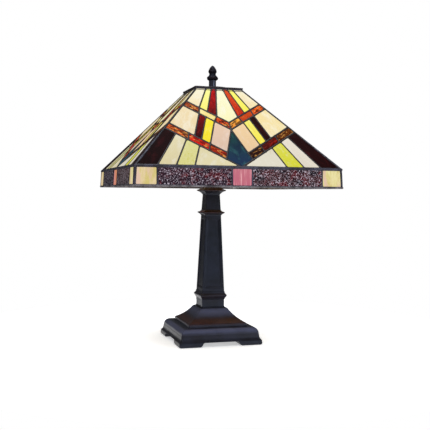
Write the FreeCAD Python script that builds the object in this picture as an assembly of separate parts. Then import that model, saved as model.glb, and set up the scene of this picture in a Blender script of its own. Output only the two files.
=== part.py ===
import FreeCAD, Part
import math
import os

# Table lamp with a four-sided leaded glass shade on a square tapered column.
# Millimetres, +Z up. The origin is the centre of the base, on the surface the lamp stands on.
# The front faces -Y. Sides are numbered 0 front, 1 right, 2 back, 3 left.

Vec = FreeCAD.Vector
Z_AXIS = Vec(0, 0, 1)
SIDES = ("front", "right", "back", "left")

# ---- driving dimensions -------------------------------------------------------------------

TOTAL_HEIGHT = 426.7
SHADE_WIDTH = 304.8
SHADE_HEIGHT = 152.4
BASE_WIDTH = 129.5

# shade
CAP_DISC_RADIUS = 28.0
CAP_DISC_THICKNESS = 3.0
FINIAL_HEIGHT = 35.0
CAP_PLATE_HALF = 38.0
CAP_PLATE_THICKNESS = 2.0
TOP_FRAME_HEIGHT = 2.4
SKIRT_HEIGHT = 28.0
RIM_BAND_HEIGHT = 3.0
SHOULDER_HALF = 150.0
SKIRT_FOOT_HALF = 151.4
GLASS_TOP_HALF = 35.6
GLASS_THICKNESS = 3.0
GLASS_DEPTH = 0.3
LEAD_PROUD = 0.5
LEAD_DEEP = 3.7
GLASS_GAP = 0.1
RAY_LEAD = 1.25
BAND_LEAD = 1.6
EDGE_LEAD = 3.9
HIP_CLEAR = 2.6
EDGE_CLEAR = 2.6
CORNER_CLEAR = 4.2
BEAD_RADIUS = 2.0
HIP_BEAD_DEPTH = 1.0
CORNER_BEAD_RADIUS = 2.3
CORNER_BEAD_DEPTH = 2.2
SHOULDER_BEAD_IN = 0.93
SHOULDER_BEAD_DOWN = 0.37
TILE_WIDTH = 30.5
CENTRE_TILE_HALF = 14.6

# column, from the base up
PAD_THICKNESS = 1.5
PAD_RADIUS = 10.0
FOOT_WIDTH = 37.0
FOOT_HEIGHT = 7.0
BASE_TOP = 52.2
PLINTH_TOP = 64.6
LOWER_RING_TOP = 77.4
SHAFT_TOP = 194.0
UPPER_RING_TOP = 203.4
NECK_TOP = 226.2
CAPITAL_TOP = 240.0
COLUMN_CAP_TOP = 243.0
PLINTH_HALF = 17.8
SHAFT_FOOT_HALF = 17.6
SHAFT_HEAD_HALF = 12.7
NECK_FOOT_HALF = 12.3
NECK_HEAD_HALF = 10.9

# lamp rod and its fittings
ROD_RADIUS = 4.8
ROD_BORE = 3.0
STUD_RADIUS = 3.1
BODY_GAP = 0.3
NUT_ACROSS = 16.0
NUT_THICKNESS = 6.0
WASHER_RADIUS = 12.0
WASHER_THICKNESS = 2.0

# socket and bulb, beside the rod
SOCKET_X = 36.0
BRACKET_THICKNESS = 2.5
BRACKET_WIDTH = 22.0
NIPPLE_RADIUS = 4.8
SOCKET_CAP_RADIUS = 17.0
SOCKET_CAP_HEIGHT = 17.5
SOCKET_SHELL_RADIUS = 16.2
SOCKET_HEIGHT = 54.0
SHEET = 0.8
BULB_BASE_RADIUS = 13.1
BULB_RADIUS = 24.0
BULB_LENGTH = 89.0
KNOB_RADIUS = 6.0
KNOB_STEM_RADIUS = 1.6

# ---- heights that follow ------------------------------------------------------------------

SHADE_TOP = TOTAL_HEIGHT - FINIAL_HEIGHT - CAP_DISC_THICKNESS
RIM_Z = SHADE_TOP - SHADE_HEIGHT
SHOULDER_Z = RIM_Z + SKIRT_HEIGHT
PLATE_Z = SHADE_TOP - CAP_PLATE_THICKNESS
FRAME_Z = PLATE_Z - TOP_FRAME_HEIGHT
BASE_HALF = BASE_WIDTH / 2
RIM_HALF = SHADE_WIDTH / 2
BRACKET_Z = COLUMN_CAP_TOP
SOCKET_Z = BRACKET_Z + BRACKET_THICKNESS
SOCKET_MOUTH = SOCKET_Z + SOCKET_HEIGHT
BULB_FOOT = SOCKET_MOUTH - 27.5
BULB_TOP = BULB_FOOT + BULB_LENGTH
SEAT_NUT_Z = PLATE_Z - WASHER_THICKNESS - NUT_THICKNESS
ROD_TOP = PLATE_Z - 1.0
STUD_TOP = SHADE_TOP + CAP_DISC_THICKNESS + 15.0


# ---- small tools --------------------------------------------------------------------------

def save(name, *solids):
    shape = solids[0] if len(solids) == 1 else Part.makeCompound(list(solids))
    if not shape.isValid():
        raise ValueError(name)
    shape.exportStep("parts/%s.step" % name)


def disc(radius, low, high, x=0.0, y=0.0):
    return Part.makeCylinder(radius, high - low, Vec(x, y, low), Z_AXIS)


def tube(outer, inner, low, high, x=0.0, y=0.0):
    return disc(outer, low, high, x, y).cut(disc(inner, low - 1, high + 1, x, y))


def box(low, high):
    size = [h - l for l, h in zip(low, high)]
    return Part.makeBox(*size, Vec(*low))


def quarter_turns(shape, count=4):
    """The shape and its copies, turned a quarter each about the lamp's axis."""
    copies = []
    for turn in range(count):
        copy = shape.copy()
        copy.rotate(Vec(0, 0, 0), Z_AXIS, 90 * turn)
        copies.append(copy)
    return copies


def trace(steps, sign=1):
    """Edges in the XZ plane. A step is a point, two points (through, end) for an arc,
    or more points for a smooth curve through them."""
    edges = []
    here = Vec(sign * steps[0][0], 0, steps[0][1])
    for step in steps[1:]:
        if isinstance(step[0], tuple) and len(step) > 2:
            points = [here] + [Vec(sign * x, 0, z) for x, z in step]
            curve = Part.BSplineCurve()
            curve.interpolate(points)
            edges.append(curve.toShape())
            end = points[-1]
        elif isinstance(step[0], tuple):
            through, end = [Vec(sign * x, 0, z) for x, z in step]
            edges.append(Part.Arc(here, through, end).toShape())
        else:
            end = Vec(sign * step[0], 0, step[1])
            edges.append(Part.LineSegment(here, end).toShape())
        here = end
    return edges


def end_point(step):
    return step[-1] if isinstance(step[0], tuple) else step


def turned(steps, x=0.0):
    """A round solid: the closed outline through steps, revolved about a vertical axis."""
    edges = trace(steps)
    last = end_point(steps[-1])
    first = steps[0]
    edges.append(Part.LineSegment(Vec(last[0], 0, last[1]), Vec(first[0], 0, first[1])).toShape())
    solid = Part.Face(Part.Wire(edges)).revolve(Vec(0, 0, 0), Z_AXIS, 360)
    solid.translate(Vec(x, 0, 0))
    return solid


def square_solid(steps):
    """A solid of square plan whose half width follows steps from the bottom to the top."""
    right = trace(steps)
    left = trace(steps, -1)
    foot = steps[0]
    head = end_point(steps[-1])
    closing = [Part.LineSegment(Vec(-h, 0, z), Vec(h, 0, z)).toShape() for h, z in (foot, head)]
    face = Part.Face(Part.Wire(Part.__sortEdges__(right + left + closing)))
    reach = 2 * max(end_point(step)[0] for step in steps)
    along_y = face.extrude(Vec(0, 2 * reach, 0))
    along_y.translate(Vec(0, -reach, 0))
    along_x = along_y.copy()
    along_x.rotate(Vec(0, 0, 0), Z_AXIS, 90)
    return along_y.common(along_x)


def prism(points, height):
    """Polygon in the XY plane, raised along Z."""
    ring = [Vec(x, y, 0) for x, y in points]
    return Part.Face(Part.makePolygon(ring + ring[:1])).extrude(Vec(0, 0, height))


def hexagon(low, high, bore, across=NUT_ACROSS, x=0.0):
    corner = across / 2 / math.cos(math.pi / 6)
    points = [(corner * math.cos(k * math.pi / 3), corner * math.sin(k * math.pi / 3)) for k in range(6)]
    nut = prism(points, high - low)
    nut.translate(Vec(x, 0, low))
    return nut.cut(disc(bore, low - 1, high + 1, x))


# ---- base ---------------------------------------------------------------------------------

APRON_HALF = 61.0
CAVITY_HALF = 48.0
CAVITY_TOP = 22.0
NUT_WELL_TOP = 36.0
NUT_WELL_RADIUS = 14.0
COVER_THICKNESS = 1.5
BALLAST_HALF = 46.0
BALLAST_THICKNESS = 9.5
COVER_SCREW_PLACE = 40.0
COVER_SCREW_RADIUS = 1.5
INLET_Z = 17.2
INLET_RADIUS = 3.2
BUSHING_RADIUS = 4.6
BUSHING_FLANGE = 6.0
BUSHING_SEAT = APRON_HALF + 0.4


def foot_gap():
    """The opening between two feet, seen along Y, wider at the floor where the feet are rounded."""
    half = BASE_HALF - FOOT_WIDTH
    flare = 3.5
    edge = [(half + flare, 0.0), (half + flare, PAD_THICKNESS),
            ((half + 0.9, PAD_THICKNESS + 1.2), (half, PAD_THICKNESS + flare)),
            (half, FOOT_HEIGHT)]
    lines = trace(edge) + trace(edge, -1)
    for x, z in (edge[0], edge[-1]):
        lines.append(Part.LineSegment(Vec(-x, 0, z), Vec(x, 0, z)).toShape())
    face = Part.Face(Part.Wire(Part.__sortEdges__(lines)))
    gap = face.extrude(Vec(0, 2 * BASE_WIDTH, 0))
    gap.translate(Vec(0, -BASE_WIDTH, 0))
    return gap


def inlet_axis(radius, near, far):
    return Part.makeCylinder(radius, far - near, Vec(0, near, INLET_Z), Vec(0, 1, 0))


def base_parts():
    outer = square_solid([
        (BASE_HALF - 1.6, PAD_THICKNESS),
        ((BASE_HALF - 0.4, PAD_THICKNESS + 0.9), (BASE_HALF, PAD_THICKNESS + 2.6)),
        ((64.4, 7.2), (63.2, 9.2)),
        ((61.6, 10.3), (APRON_HALF, 12.2)),
        (60.6, 16.6),
        (59.6, 17.2),
        ((58.3, 22.6), (54.0, 26.2)),
        (47.0, 26.4),
        (45.8, 27.4),
        (45.6, 31.0),
        ((31.5, 40.6), (22.9, 50.2)),
        ((21.6, 51.6), (19.6, BASE_TOP)),
    ])
    gap = foot_gap()
    cross_gap = gap.copy()
    cross_gap.rotate(Vec(0, 0, 0), Z_AXIS, 90)
    cavity = box((-CAVITY_HALF, -CAVITY_HALF, 0), (CAVITY_HALF, CAVITY_HALF, CAVITY_TOP))
    nut_well = disc(NUT_WELL_RADIUS, CAVITY_TOP - 1, NUT_WELL_TOP)
    bore = disc(ROD_RADIUS + BODY_GAP, 0, BASE_TOP + 1)
    whole = outer.cut([bore, gap, cross_gap])
    below = box((-BASE_WIDTH, -BASE_WIDTH, 0), (BASE_WIDTH, BASE_WIDTH, FOOT_HEIGHT))
    casting = whole.cut([below, cavity, nut_well])
    casting = casting.cut(inlet_axis(BUSHING_RADIUS, CAVITY_HALF - 1, BASE_HALF))
    save("base_casting", casting)
    inner = BASE_HALF - FOOT_WIDTH
    corner = box((inner, inner, 0), (BASE_WIDTH, BASE_WIDTH, FOOT_HEIGHT))
    save("bracket_feet", *[whole.common(quarter) for quarter in quarter_turns(corner)])

    pad_place = BASE_HALF - FOOT_WIDTH / 2 - 1
    pad = disc(PAD_RADIUS, 0, PAD_THICKNESS, pad_place, pad_place)
    save("foot_pads", *quarter_turns(pad))

    cover_low = FOOT_HEIGHT
    cover_half = CAVITY_HALF - 0.5
    cover = box((-cover_half, -cover_half, cover_low), (cover_half, cover_half, cover_low + COVER_THICKNESS))
    holes = quarter_turns(disc(COVER_SCREW_RADIUS, 0, 30, COVER_SCREW_PLACE, 0))
    save("bottom_cover", cover.cut(holes))

    ballast_low = cover_low + COVER_THICKNESS
    ballast = box((-BALLAST_HALF, -BALLAST_HALF, ballast_low),
                  (BALLAST_HALF, BALLAST_HALF, ballast_low + BALLAST_THICKNESS))
    cord_way = box((-4, 0, ballast_low - 1), (4, BALLAST_HALF + 1, ballast_low + BALLAST_THICKNESS + 1))
    ballast = ballast.cut([disc(NUT_WELL_RADIUS, 0, NUT_WELL_TOP), cord_way] + holes)
    save("base_ballast", ballast)

    head = disc(3.2, cover_low - 1.4, cover_low, COVER_SCREW_PLACE, 0)
    shank = disc(COVER_SCREW_RADIUS - 0.05, cover_low - 0.5, ballast_low + 7, COVER_SCREW_PLACE, 0)
    slot = box((COVER_SCREW_PLACE - 4, -0.4, cover_low - 2), (COVER_SCREW_PLACE + 4, 0.4, cover_low - 0.9))
    save("cover_screws", *quarter_turns(head.fuse(shank).removeSplitter().cut(slot)))

    sleeve = inlet_axis(BUSHING_RADIUS - 0.05, CAVITY_HALF, BUSHING_SEAT)
    flange = inlet_axis(BUSHING_FLANGE, BUSHING_SEAT, BUSHING_SEAT + 1.8)
    bushing = sleeve.fuse(flange).removeSplitter().cut(inlet_axis(INLET_RADIUS, 0, BASE_WIDTH))
    save("cord_bushing", bushing)


# ---- column -------------------------------------------------------------------------------

PANEL_MARGIN = 3.2
PANEL_STEP = 1.7
PANEL_DEPTH = 0.7


def bored(solid):
    return solid.cut(disc(ROD_RADIUS + BODY_GAP, 0, TOTAL_HEIGHT))


def shaft_half(z):
    share = (z - LOWER_RING_TOP) / (SHAFT_TOP - LOWER_RING_TOP)
    return SHAFT_FOOT_HALF + share * (SHAFT_HEAD_HALF - SHAFT_FOOT_HALF)


def shaft_recess(margin, depth):
    """A shallow tapered panel cut into the front face, parallel to it."""
    low = LOWER_RING_TOP + margin + 1.5
    high = SHAFT_TOP - margin - 1.5
    sections = []
    for z in (low, high):
        half = shaft_half(z)
        width = half - margin
        corners = [Vec(-width, -half - 1, z), Vec(width, -half - 1, z),
                   Vec(width, -half + depth, z), Vec(-width, -half + depth, z)]
        sections.append(Part.makePolygon(corners + corners[:1]))
    return Part.makeLoft(sections, True, True)


def column_parts():
    save("plinth_block", bored(square_solid([
        (PLINTH_HALF + 0.5, BASE_TOP), (PLINTH_HALF + 0.5, BASE_TOP + 1.0),
        (PLINTH_HALF, BASE_TOP + 1.8), (PLINTH_HALF, PLINTH_TOP)])))
    save("lower_ring", bored(square_solid([
        (PLINTH_HALF, PLINTH_TOP), (PLINTH_HALF + 0.5, PLINTH_TOP + 0.6),
        ((19.4, 67.6), (20.9, 69.9)), (20.9, 71.6),
        ((19.0, 73.8), (SHAFT_FOOT_HALF + 0.6, 76.4)), (SHAFT_FOOT_HALF, LOWER_RING_TOP)])))
    shaft = square_solid([(SHAFT_FOOT_HALF, LOWER_RING_TOP), (SHAFT_HEAD_HALF, SHAFT_TOP)])
    recesses = quarter_turns(shaft_recess(PANEL_MARGIN, PANEL_DEPTH))
    recesses += quarter_turns(shaft_recess(PANEL_MARGIN + PANEL_STEP, 2 * PANEL_DEPTH))
    save("tapered_shaft", bored(shaft.cut(recesses)))
    save("upper_ring", bored(square_solid([
        (SHAFT_HEAD_HALF + 0.2, SHAFT_TOP), (SHAFT_HEAD_HALF + 0.5, SHAFT_TOP + 0.9),
        ((14.8, 196.5), (17.0, 197.9)), (17.2, 198.8), (16.9, 199.7),
        ((13.8, 200.9), (NECK_FOOT_HALF, UPPER_RING_TOP))])))
    save("column_neck", bored(square_solid([
        (NECK_FOOT_HALF, UPPER_RING_TOP), (NECK_HEAD_HALF, NECK_TOP)])))
    save("capital", bored(square_solid([
        (NECK_HEAD_HALF, NECK_TOP), ((14.0, 229.9), (18.2, 232.2)),
        ((18.6, 232.9), (18.2, 233.8)), ((15.4, 234.9), (13.6, 236.8)), (12.8, CAPITAL_TOP)])))
    save("column_cap", bored(disc(14.0, CAPITAL_TOP, COLUMN_CAP_TOP)))


# ---- lamp rod -----------------------------------------------------------------------------

ROD_FOOT = 12.0
FOOT_WASHER_RADIUS = 11.0
FOOT_WASHER_Z = NUT_WELL_TOP - 1.6
THREAD_GAP = 0.05


def rod_parts():
    pipe = disc(ROD_RADIUS, ROD_FOOT, ROD_TOP)
    stud = disc(STUD_RADIUS, ROD_TOP, STUD_TOP)
    wire_way = disc(ROD_BORE, ROD_FOOT - 1, ROD_TOP - 12)
    exit_hole = Part.makeCylinder(2.4, 20, Vec(0, 0, SOCKET_Z + NUT_THICKNESS + 6), Vec(1, 0, 0))
    save("lamp_rod", pipe.fuse(stud).removeSplitter().cut([wire_way, exit_hole]))

    bore = ROD_RADIUS + THREAD_GAP
    foot_nut = hexagon(FOOT_WASHER_Z - NUT_THICKNESS, FOOT_WASHER_Z, bore)
    bracket_nut = hexagon(SOCKET_Z, SOCKET_Z + NUT_THICKNESS, bore)
    seat_nut = hexagon(SEAT_NUT_Z, SEAT_NUT_Z + NUT_THICKNESS, bore)
    nipple_nut = hexagon(BRACKET_Z - NUT_THICKNESS, BRACKET_Z, NIPPLE_RADIUS, x=SOCKET_X)
    save("pipe_nuts", foot_nut, bracket_nut, seat_nut, nipple_nut)
    save("rod_foot_washer", tube(FOOT_WASHER_RADIUS, ROD_RADIUS + BODY_GAP, FOOT_WASHER_Z, NUT_WELL_TOP))
    save("shade_seat_washer", tube(WASHER_RADIUS, ROD_RADIUS + BODY_GAP,
                                   PLATE_Z - WASHER_THICKNESS, PLATE_Z))


# ---- socket and bulb ----------------------------------------------------------------------

CORE_RADIUS = 14.4
CORE_LOW = SOCKET_Z + 6.0
CORE_HIGH = BULB_FOOT - 3.0
KNOB_Z = SOCKET_Z + 20.0


def socket_parts():
    round_end = BRACKET_WIDTH / 2
    strap = box((0, -round_end, BRACKET_Z), (SOCKET_X, round_end, SOCKET_Z))
    strap = strap.fuse([disc(round_end, BRACKET_Z, SOCKET_Z), disc(round_end, BRACKET_Z, SOCKET_Z, SOCKET_X)])
    holes = [disc(ROD_RADIUS + BODY_GAP, 0, TOTAL_HEIGHT), disc(NIPPLE_RADIUS, 0, TOTAL_HEIGHT, SOCKET_X)]
    save("socket_bracket", strap.removeSplitter().cut(holes))

    nipple_low = BRACKET_Z - NUT_THICKNESS - 1.0
    nipple_high = SOCKET_Z + 5.0
    save("socket_nipple", tube(NIPPLE_RADIUS - THREAD_GAP, ROD_BORE, nipple_low, nipple_high, SOCKET_X))

    cap_high = SOCKET_Z + SOCKET_CAP_HEIGHT
    cap = turned([
        (NIPPLE_RADIUS, SOCKET_Z), (11.0, SOCKET_Z),
        ((15.2, SOCKET_Z + 2.2), (SOCKET_CAP_RADIUS, SOCKET_Z + 7.0)),
        (SOCKET_CAP_RADIUS, cap_high), (SOCKET_CAP_RADIUS - SHEET, cap_high),
        (SOCKET_CAP_RADIUS - SHEET, SOCKET_Z + 7.2),
        ((14.5, SOCKET_Z + 3.0), (10.8, SOCKET_Z + SHEET)),
        (NIPPLE_RADIUS, SOCKET_Z + SHEET)], SOCKET_X)
    save("socket_cap", cap)

    shell_low = cap_high - 4.0
    inner = SOCKET_SHELL_RADIUS - SHEET
    outer = SOCKET_SHELL_RADIUS - 0.05
    shell = turned([
        (inner, shell_low), (outer, shell_low), (outer, SOCKET_MOUTH - 3.0),
        ((outer + 0.7, SOCKET_MOUTH - 1.5), (outer, SOCKET_MOUTH)),
        (inner, SOCKET_MOUTH)], SOCKET_X)
    knob_way = Part.makeCylinder(KNOB_STEM_RADIUS + BODY_GAP, 20, Vec(SOCKET_X, 0, KNOB_Z), Vec(1, 0, 0))
    save("socket_shell", shell.cut(knob_way))
    sleeve = tube(inner - 0.05, inner - 0.65, shell_low, SOCKET_MOUTH - 1.5, SOCKET_X)
    save("socket_sleeve", sleeve.cut(knob_way))

    core = disc(CORE_RADIUS, CORE_LOW, CORE_HIGH, SOCKET_X)
    spindle_start = Vec(SOCKET_X + 4, 0, KNOB_Z)
    spindle_way = Part.makeCylinder(KNOB_STEM_RADIUS + BODY_GAP, 12, spindle_start, Vec(1, 0, 0))
    save("socket_core", core.cut([spindle_way, disc(1.0, CORE_LOW - 1, CORE_LOW + 4, SOCKET_X + 9),
                                  disc(1.0, CORE_LOW - 1, CORE_LOW + 4, SOCKET_X - 9)]))
    screw_inner = BULB_BASE_RADIUS + BODY_GAP
    screw = tube(screw_inner + 0.5, screw_inner, CORE_HIGH, SOCKET_MOUTH - 4.0, SOCKET_X)
    save("screw_shell", screw)
    save("centre_contact", disc(4.0, CORE_HIGH, CORE_HIGH + 1.4, SOCKET_X))

    stem = Part.makeCylinder(KNOB_STEM_RADIUS, 18.5, Vec(SOCKET_X + 5, 0, KNOB_Z), Vec(1, 0, 0))
    grip_start = SOCKET_X + 5 + 18.5
    grip = Part.makeCylinder(KNOB_RADIUS, 9.0, Vec(grip_start, 0, KNOB_Z), Vec(1, 0, 0))
    flutes = []
    for step in range(10):
        angle = step * math.pi / 5
        place = Vec(grip_start + 1.5, (KNOB_RADIUS + 0.5) * math.cos(angle),
                    KNOB_Z + (KNOB_RADIUS + 0.5) * math.sin(angle))
        flutes.append(Part.makeCylinder(1.1, 9.0, place, Vec(1, 0, 0)))
    save("switch_knob", stem.fuse(grip).removeSplitter().cut(flutes))


def bulb_parts():
    wall = 0.5
    base_top = BULB_FOOT + 26.0
    base = turned([
        (4.0, BULB_FOOT), (6.0, BULB_FOOT), (10.5, BULB_FOOT + 3.2),
        (BULB_BASE_RADIUS, BULB_FOOT + 5.0), (BULB_BASE_RADIUS, base_top),
        (BULB_BASE_RADIUS - wall, base_top), (BULB_BASE_RADIUS - wall, BULB_FOOT + 5.4),
        (4.0, BULB_FOOT + 2.6)], SOCKET_X)
    save("bulb_base", base.fuse(disc(4.0, BULB_FOOT - 1.0, BULB_FOOT + 1.5, SOCKET_X)).removeSplitter())

    globe_z = BULB_TOP - BULB_RADIUS
    outer = BULB_BASE_RADIUS - wall - 0.1
    flare_z = globe_z - 13.8

    def ball(radius, z):
        return math.sqrt(radius ** 2 - (z - globe_z) ** 2)

    inner_radius = BULB_RADIUS - 0.8
    glass = turned([
        (outer - 0.8, base_top - 6), (outer, base_top - 6), (outer, base_top + 3),
        ((15.4, flare_z - 8.2), (ball(BULB_RADIUS, flare_z), flare_z)),
        ((BULB_RADIUS, globe_z), (0.0, BULB_TOP)),
        (0.0, globe_z + inner_radius),
        ((inner_radius, globe_z), (ball(inner_radius, flare_z), flare_z)),
        ((14.6, flare_z - 8.2), (outer - 0.8, base_top + 3)),
    ], SOCKET_X)
    save("bulb_glass", glass)

    stem = disc(2.6, BULB_FOOT + 6, globe_z - 16, SOCKET_X)
    wires = []
    for side in (-1, 1):
        wire = Part.makeCylinder(0.5, 20, Vec(SOCKET_X + side * 1.6, 0, globe_z - 18), Vec(side * 0.45, 0, 1))
        wires.append(wire)
    filament = Part.makeCylinder(0.9, 20, Vec(SOCKET_X - 10, 0, globe_z - 0.4), Vec(1, 0, 0))
    save("bulb_filament", stem.fuse(wires + [filament]).removeSplitter())


# ---- leaded panels ------------------------------------------------------------------------
# A panel is drawn flat: x across, seen from outside, and s up its slope from the bottom edge.

class Line:
    """A lead line through two points, with half its width."""

    def __init__(self, start, end, half):
        self.start = start
        self.end = end
        self.half = half

    def mirrored(self):
        return Line((-self.start[0], self.start[1]), (-self.end[0], self.end[1]), self.half)


def meet(first, second, shift_first=0.0, shift_second=0.0):
    """Where two lines cross, each moved sideways to its left by its shift."""
    coefficients = []
    for line, shift in ((first, shift_first), (second, shift_second)):
        dx = line.end[0] - line.start[0]
        ds = line.end[1] - line.start[1]
        length = math.hypot(dx, ds)
        a = -ds / length
        b = dx / length
        coefficients.append((a, b, a * line.start[0] + b * line.start[1] + shift))
    (a1, b1, c1), (a2, b2, c2) = coefficients
    scale = a1 * b2 - a2 * b1
    return ((c1 * b2 - c2 * b1) / scale, (a1 * c2 - a2 * c1) / scale)


def window(lines, extra):
    """The opening bounded by lines, inside their leads by extra."""
    count = len(lines)
    corners = [meet(lines[k], lines[(k + 1) % count]) for k in range(count)]
    middle = (sum(c[0] for c in corners) / count, sum(c[1] for c in corners) / count)
    shifts = []
    for line in lines:
        dx = line.end[0] - line.start[0]
        ds = line.end[1] - line.start[1]
        side = dx * (middle[1] - line.start[1]) - ds * (middle[0] - line.start[0])
        shifts.append(math.copysign(line.half + extra, side))
    return [meet(lines[k], lines[(k + 1) % count], shifts[k], shifts[(k + 1) % count]) for k in range(count)]


SLOPE_RUN = SHOULDER_HALF - GLASS_TOP_HALF
SLOPE_RISE = PLATE_Z - SHOULDER_Z
SLOPE_LENGTH = math.hypot(SLOPE_RUN, SLOPE_RISE)

# where the pattern's lines cross the panel
UPPER_BAND = (76.3, 91.3)
UPPER_RISE = 0.77
LOWER_BAND = (0.7, 17.0)
LOWER_RISE = 0.765
RAY_LEAN = 0.318
OUTER_RAY_TOP = 20.3
MIDDLE_RAY_TOP = 11.9
INNER_RAY_TOP = 5.0
OUTER_RAY = 39.3
MIDDLE_RAY = 28.5
INNER_RAY = 16.2
DARK_RAY = 41.8
YELLOW_RAY = 33.0
PEACH_RAY = 21.8
BAND_SPLIT = (64.5, 67.4)
MAROON_SPLIT = (83.6, 119.4)
BEIGE_SPLIT = (69.8, 93.4)
LIME_SPLIT = (53.2, 67.4)


def on_band(level, rise, x):
    return (x, level + rise * x)


def panel_lines():
    """The lead lines of the right half of a panel, by name."""
    top = SLOPE_LENGTH
    lines = {
        "top": Line((-1, top), (1, top), EDGE_LEAD),
        "foot": Line((-1, 0), (1, 0), EDGE_LEAD),
        "hip": Line((SHOULDER_HALF, 0), (GLASS_TOP_HALF, top), EDGE_LEAD),
        "centre": Line((0, 0), (0, 1), RAY_LEAD),
    }
    bands = (("upper", UPPER_BAND, UPPER_RISE), ("lower", LOWER_BAND, LOWER_RISE))
    for name, levels, rise in bands:
        for edge, level in zip(("under", "over"), levels):
            lines[name + "_" + edge] = Line((0, level), on_band(level, rise, 1), BAND_LEAD)
    under, over = UPPER_BAND
    rays = (("outer", OUTER_RAY_TOP, OUTER_RAY), ("middle", MIDDLE_RAY_TOP, MIDDLE_RAY),
            ("inner", INNER_RAY_TOP, INNER_RAY))
    for name, x_top, x_band in rays:
        lines["top_" + name] = Line((x_top, top), on_band(over, UPPER_RISE, x_band), RAY_LEAD)
    for name, x_over, x_under in (("outer", OUTER_RAY, DARK_RAY), ("inner", INNER_RAY, PEACH_RAY)):
        lines["band_" + name] = Line(on_band(over, UPPER_RISE, x_over),
                                     on_band(under, UPPER_RISE, x_under), RAY_LEAD)
    for name, x in (("dark", DARK_RAY), ("yellow", YELLOW_RAY), ("peach", PEACH_RAY), ("kite", 0.0)):
        start = on_band(under, UPPER_RISE, x)
        lines["ray_" + name] = Line(start, (start[0] + RAY_LEAN, start[1] - 1), RAY_LEAD)
    under, over = LOWER_BAND
    lines["band_split"] = Line(on_band(over, LOWER_RISE, BAND_SPLIT[0]),
                               on_band(under, LOWER_RISE, BAND_SPLIT[1]), RAY_LEAD)
    for name, (x_band, x_foot) in (("maroon", MAROON_SPLIT), ("beige", BEIGE_SPLIT), ("lime", LIME_SPLIT)):
        lines["foot_" + name] = Line(on_band(under, LOWER_RISE, x_band), (x_foot, 0), RAY_LEAD)
    return lines


# Each piece: the lines round it, the glass on the left half and the glass on the right half.
HALF_PIECES = (
    (("top", "hip", "upper_over", "top_outer"), "cream", "cream"),
    (("top", "top_outer", "upper_over", "top_middle"), "yellow", "yellow"),
    (("top", "top_middle", "upper_over", "top_inner"), "red", "orange"),
    (("upper_over", "hip", "upper_under", "band_outer"), "amber", "amber"),
    (("upper_over", "band_outer", "upper_under", "band_inner"), "yellow", "orange"),
    (("upper_over", "band_inner", "upper_under", "centre"), "amber", "amber"),
    (("upper_under", "hip", "lower_over", "ray_dark"), "cream", "cream"),
    (("upper_under", "ray_dark", "lower_over", "ray_yellow"), "red", "maroon"),
    (("upper_under", "ray_yellow", "lower_over", "ray_peach"), "yellow", "yellow"),
    (("upper_under", "ray_peach", "lower_over", "ray_kite"), "peach", "peach"),
    (("lower_over", "hip", "lower_under", "band_split"), "amber", "amber"),
    (("lower_over", "band_split", "lower_under", "ray_peach"), "amber", "red"),
    (("lower_over", "ray_peach", "lower_under", "ray_kite"), "amber", "amber"),
    (("lower_under", "hip", "foot", "foot_maroon"), "maroon", "maroon"),
    (("lower_under", "foot_maroon", "foot", "foot_beige"), "beige", "beige"),
    (("lower_under", "foot_beige", "foot", "foot_lime"), "lime", "lime"),
    (("lower_under", "foot_lime", "foot"), "beige", "beige"),
)


def panel_pieces():
    """(lines, glass) for every piece of one panel."""
    right = panel_lines()
    left = {name: line.mirrored() for name, line in right.items()}
    pieces = []
    for names, left_glass, right_glass in HALF_PIECES:
        pieces.append(([left[name] for name in names], left_glass))
        pieces.append(([right[name] for name in names], right_glass))
    pieces.append(([right["top"], right["top_inner"], right["upper_over"],
                    left["upper_over"], left["top_inner"]], "cream"))
    pieces.append(([right["ray_kite"], right["lower_under"], right["foot"],
                    left["lower_under"], left["ray_kite"]], "teal"))
    return pieces


def skirt_pieces(height):
    """(lines, glass) for the five tiles of one side of the skirt."""
    foot_x = SKIRT_FOOT_HALF
    head_x = SHOULDER_HALF
    edge_half = CORNER_CLEAR + 1.2
    top = Line((-1, height), (1, height), EDGE_LEAD - 0.6)
    foot = Line((-1, 0), (1, 0), RAY_LEAD)
    tile_x = head_x - TILE_WIDTH
    uprights = [Line((-foot_x, 0), (-head_x, height), edge_half)]
    uprights += [Line((x, 0), (x, height), RAY_LEAD)
                 for x in (-tile_x, -CENTRE_TILE_HALF, CENTRE_TILE_HALF, tile_x)]
    uprights.append(Line((foot_x, 0), (head_x, height), edge_half))
    glasses = ("tile_cream", "ripple", "tile_pink", "ripple", "tile_cream")
    return [([top, uprights[k + 1], foot, uprights[k]], glass) for k, glass in enumerate(glasses)]


def stand_up(flat, half_foot, half_head, z_foot, z_head, side):
    """Puts a flat-drawn shape on one side of the shade. Flat +Z becomes outwards."""
    run = half_foot - half_head
    rise = z_head - z_foot
    length = math.hypot(run, rise)
    cos_up = rise / length
    sin_in = run / length
    matrix = FreeCAD.Matrix(1, 0, 0, 0,
                            0, sin_in, -cos_up, -half_foot,
                            0, cos_up, sin_in, z_foot,
                            0, 0, 0, 1)
    shape = flat.copy()
    shape.Placement = FreeCAD.Placement(matrix).multiply(shape.Placement)
    shape.rotate(Vec(0, 0, 0), Z_AXIS, 90 * side)
    return shape


def lattice_and_glass(pieces, outline):
    """The flat lead lattice of one panel, and its flat glass pieces by colour."""
    depth = LEAD_PROUD + LEAD_DEEP
    lead = prism(outline, depth)
    lead.translate(Vec(0, 0, -LEAD_DEEP))
    cutters = []
    glass = []
    for lines, colour in pieces:
        cutter = prism(window(lines, 0.0), depth + 2)
        cutter.translate(Vec(0, 0, -LEAD_DEEP - 1))
        cutters.append(cutter)
        pane = prism(window(lines, GLASS_GAP), GLASS_THICKNESS)
        pane.translate(Vec(0, 0, -GLASS_DEPTH - GLASS_THICKNESS))
        glass.append((pane, colour))
    return lead.cut(Part.makeCompound(cutters)), glass


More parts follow.
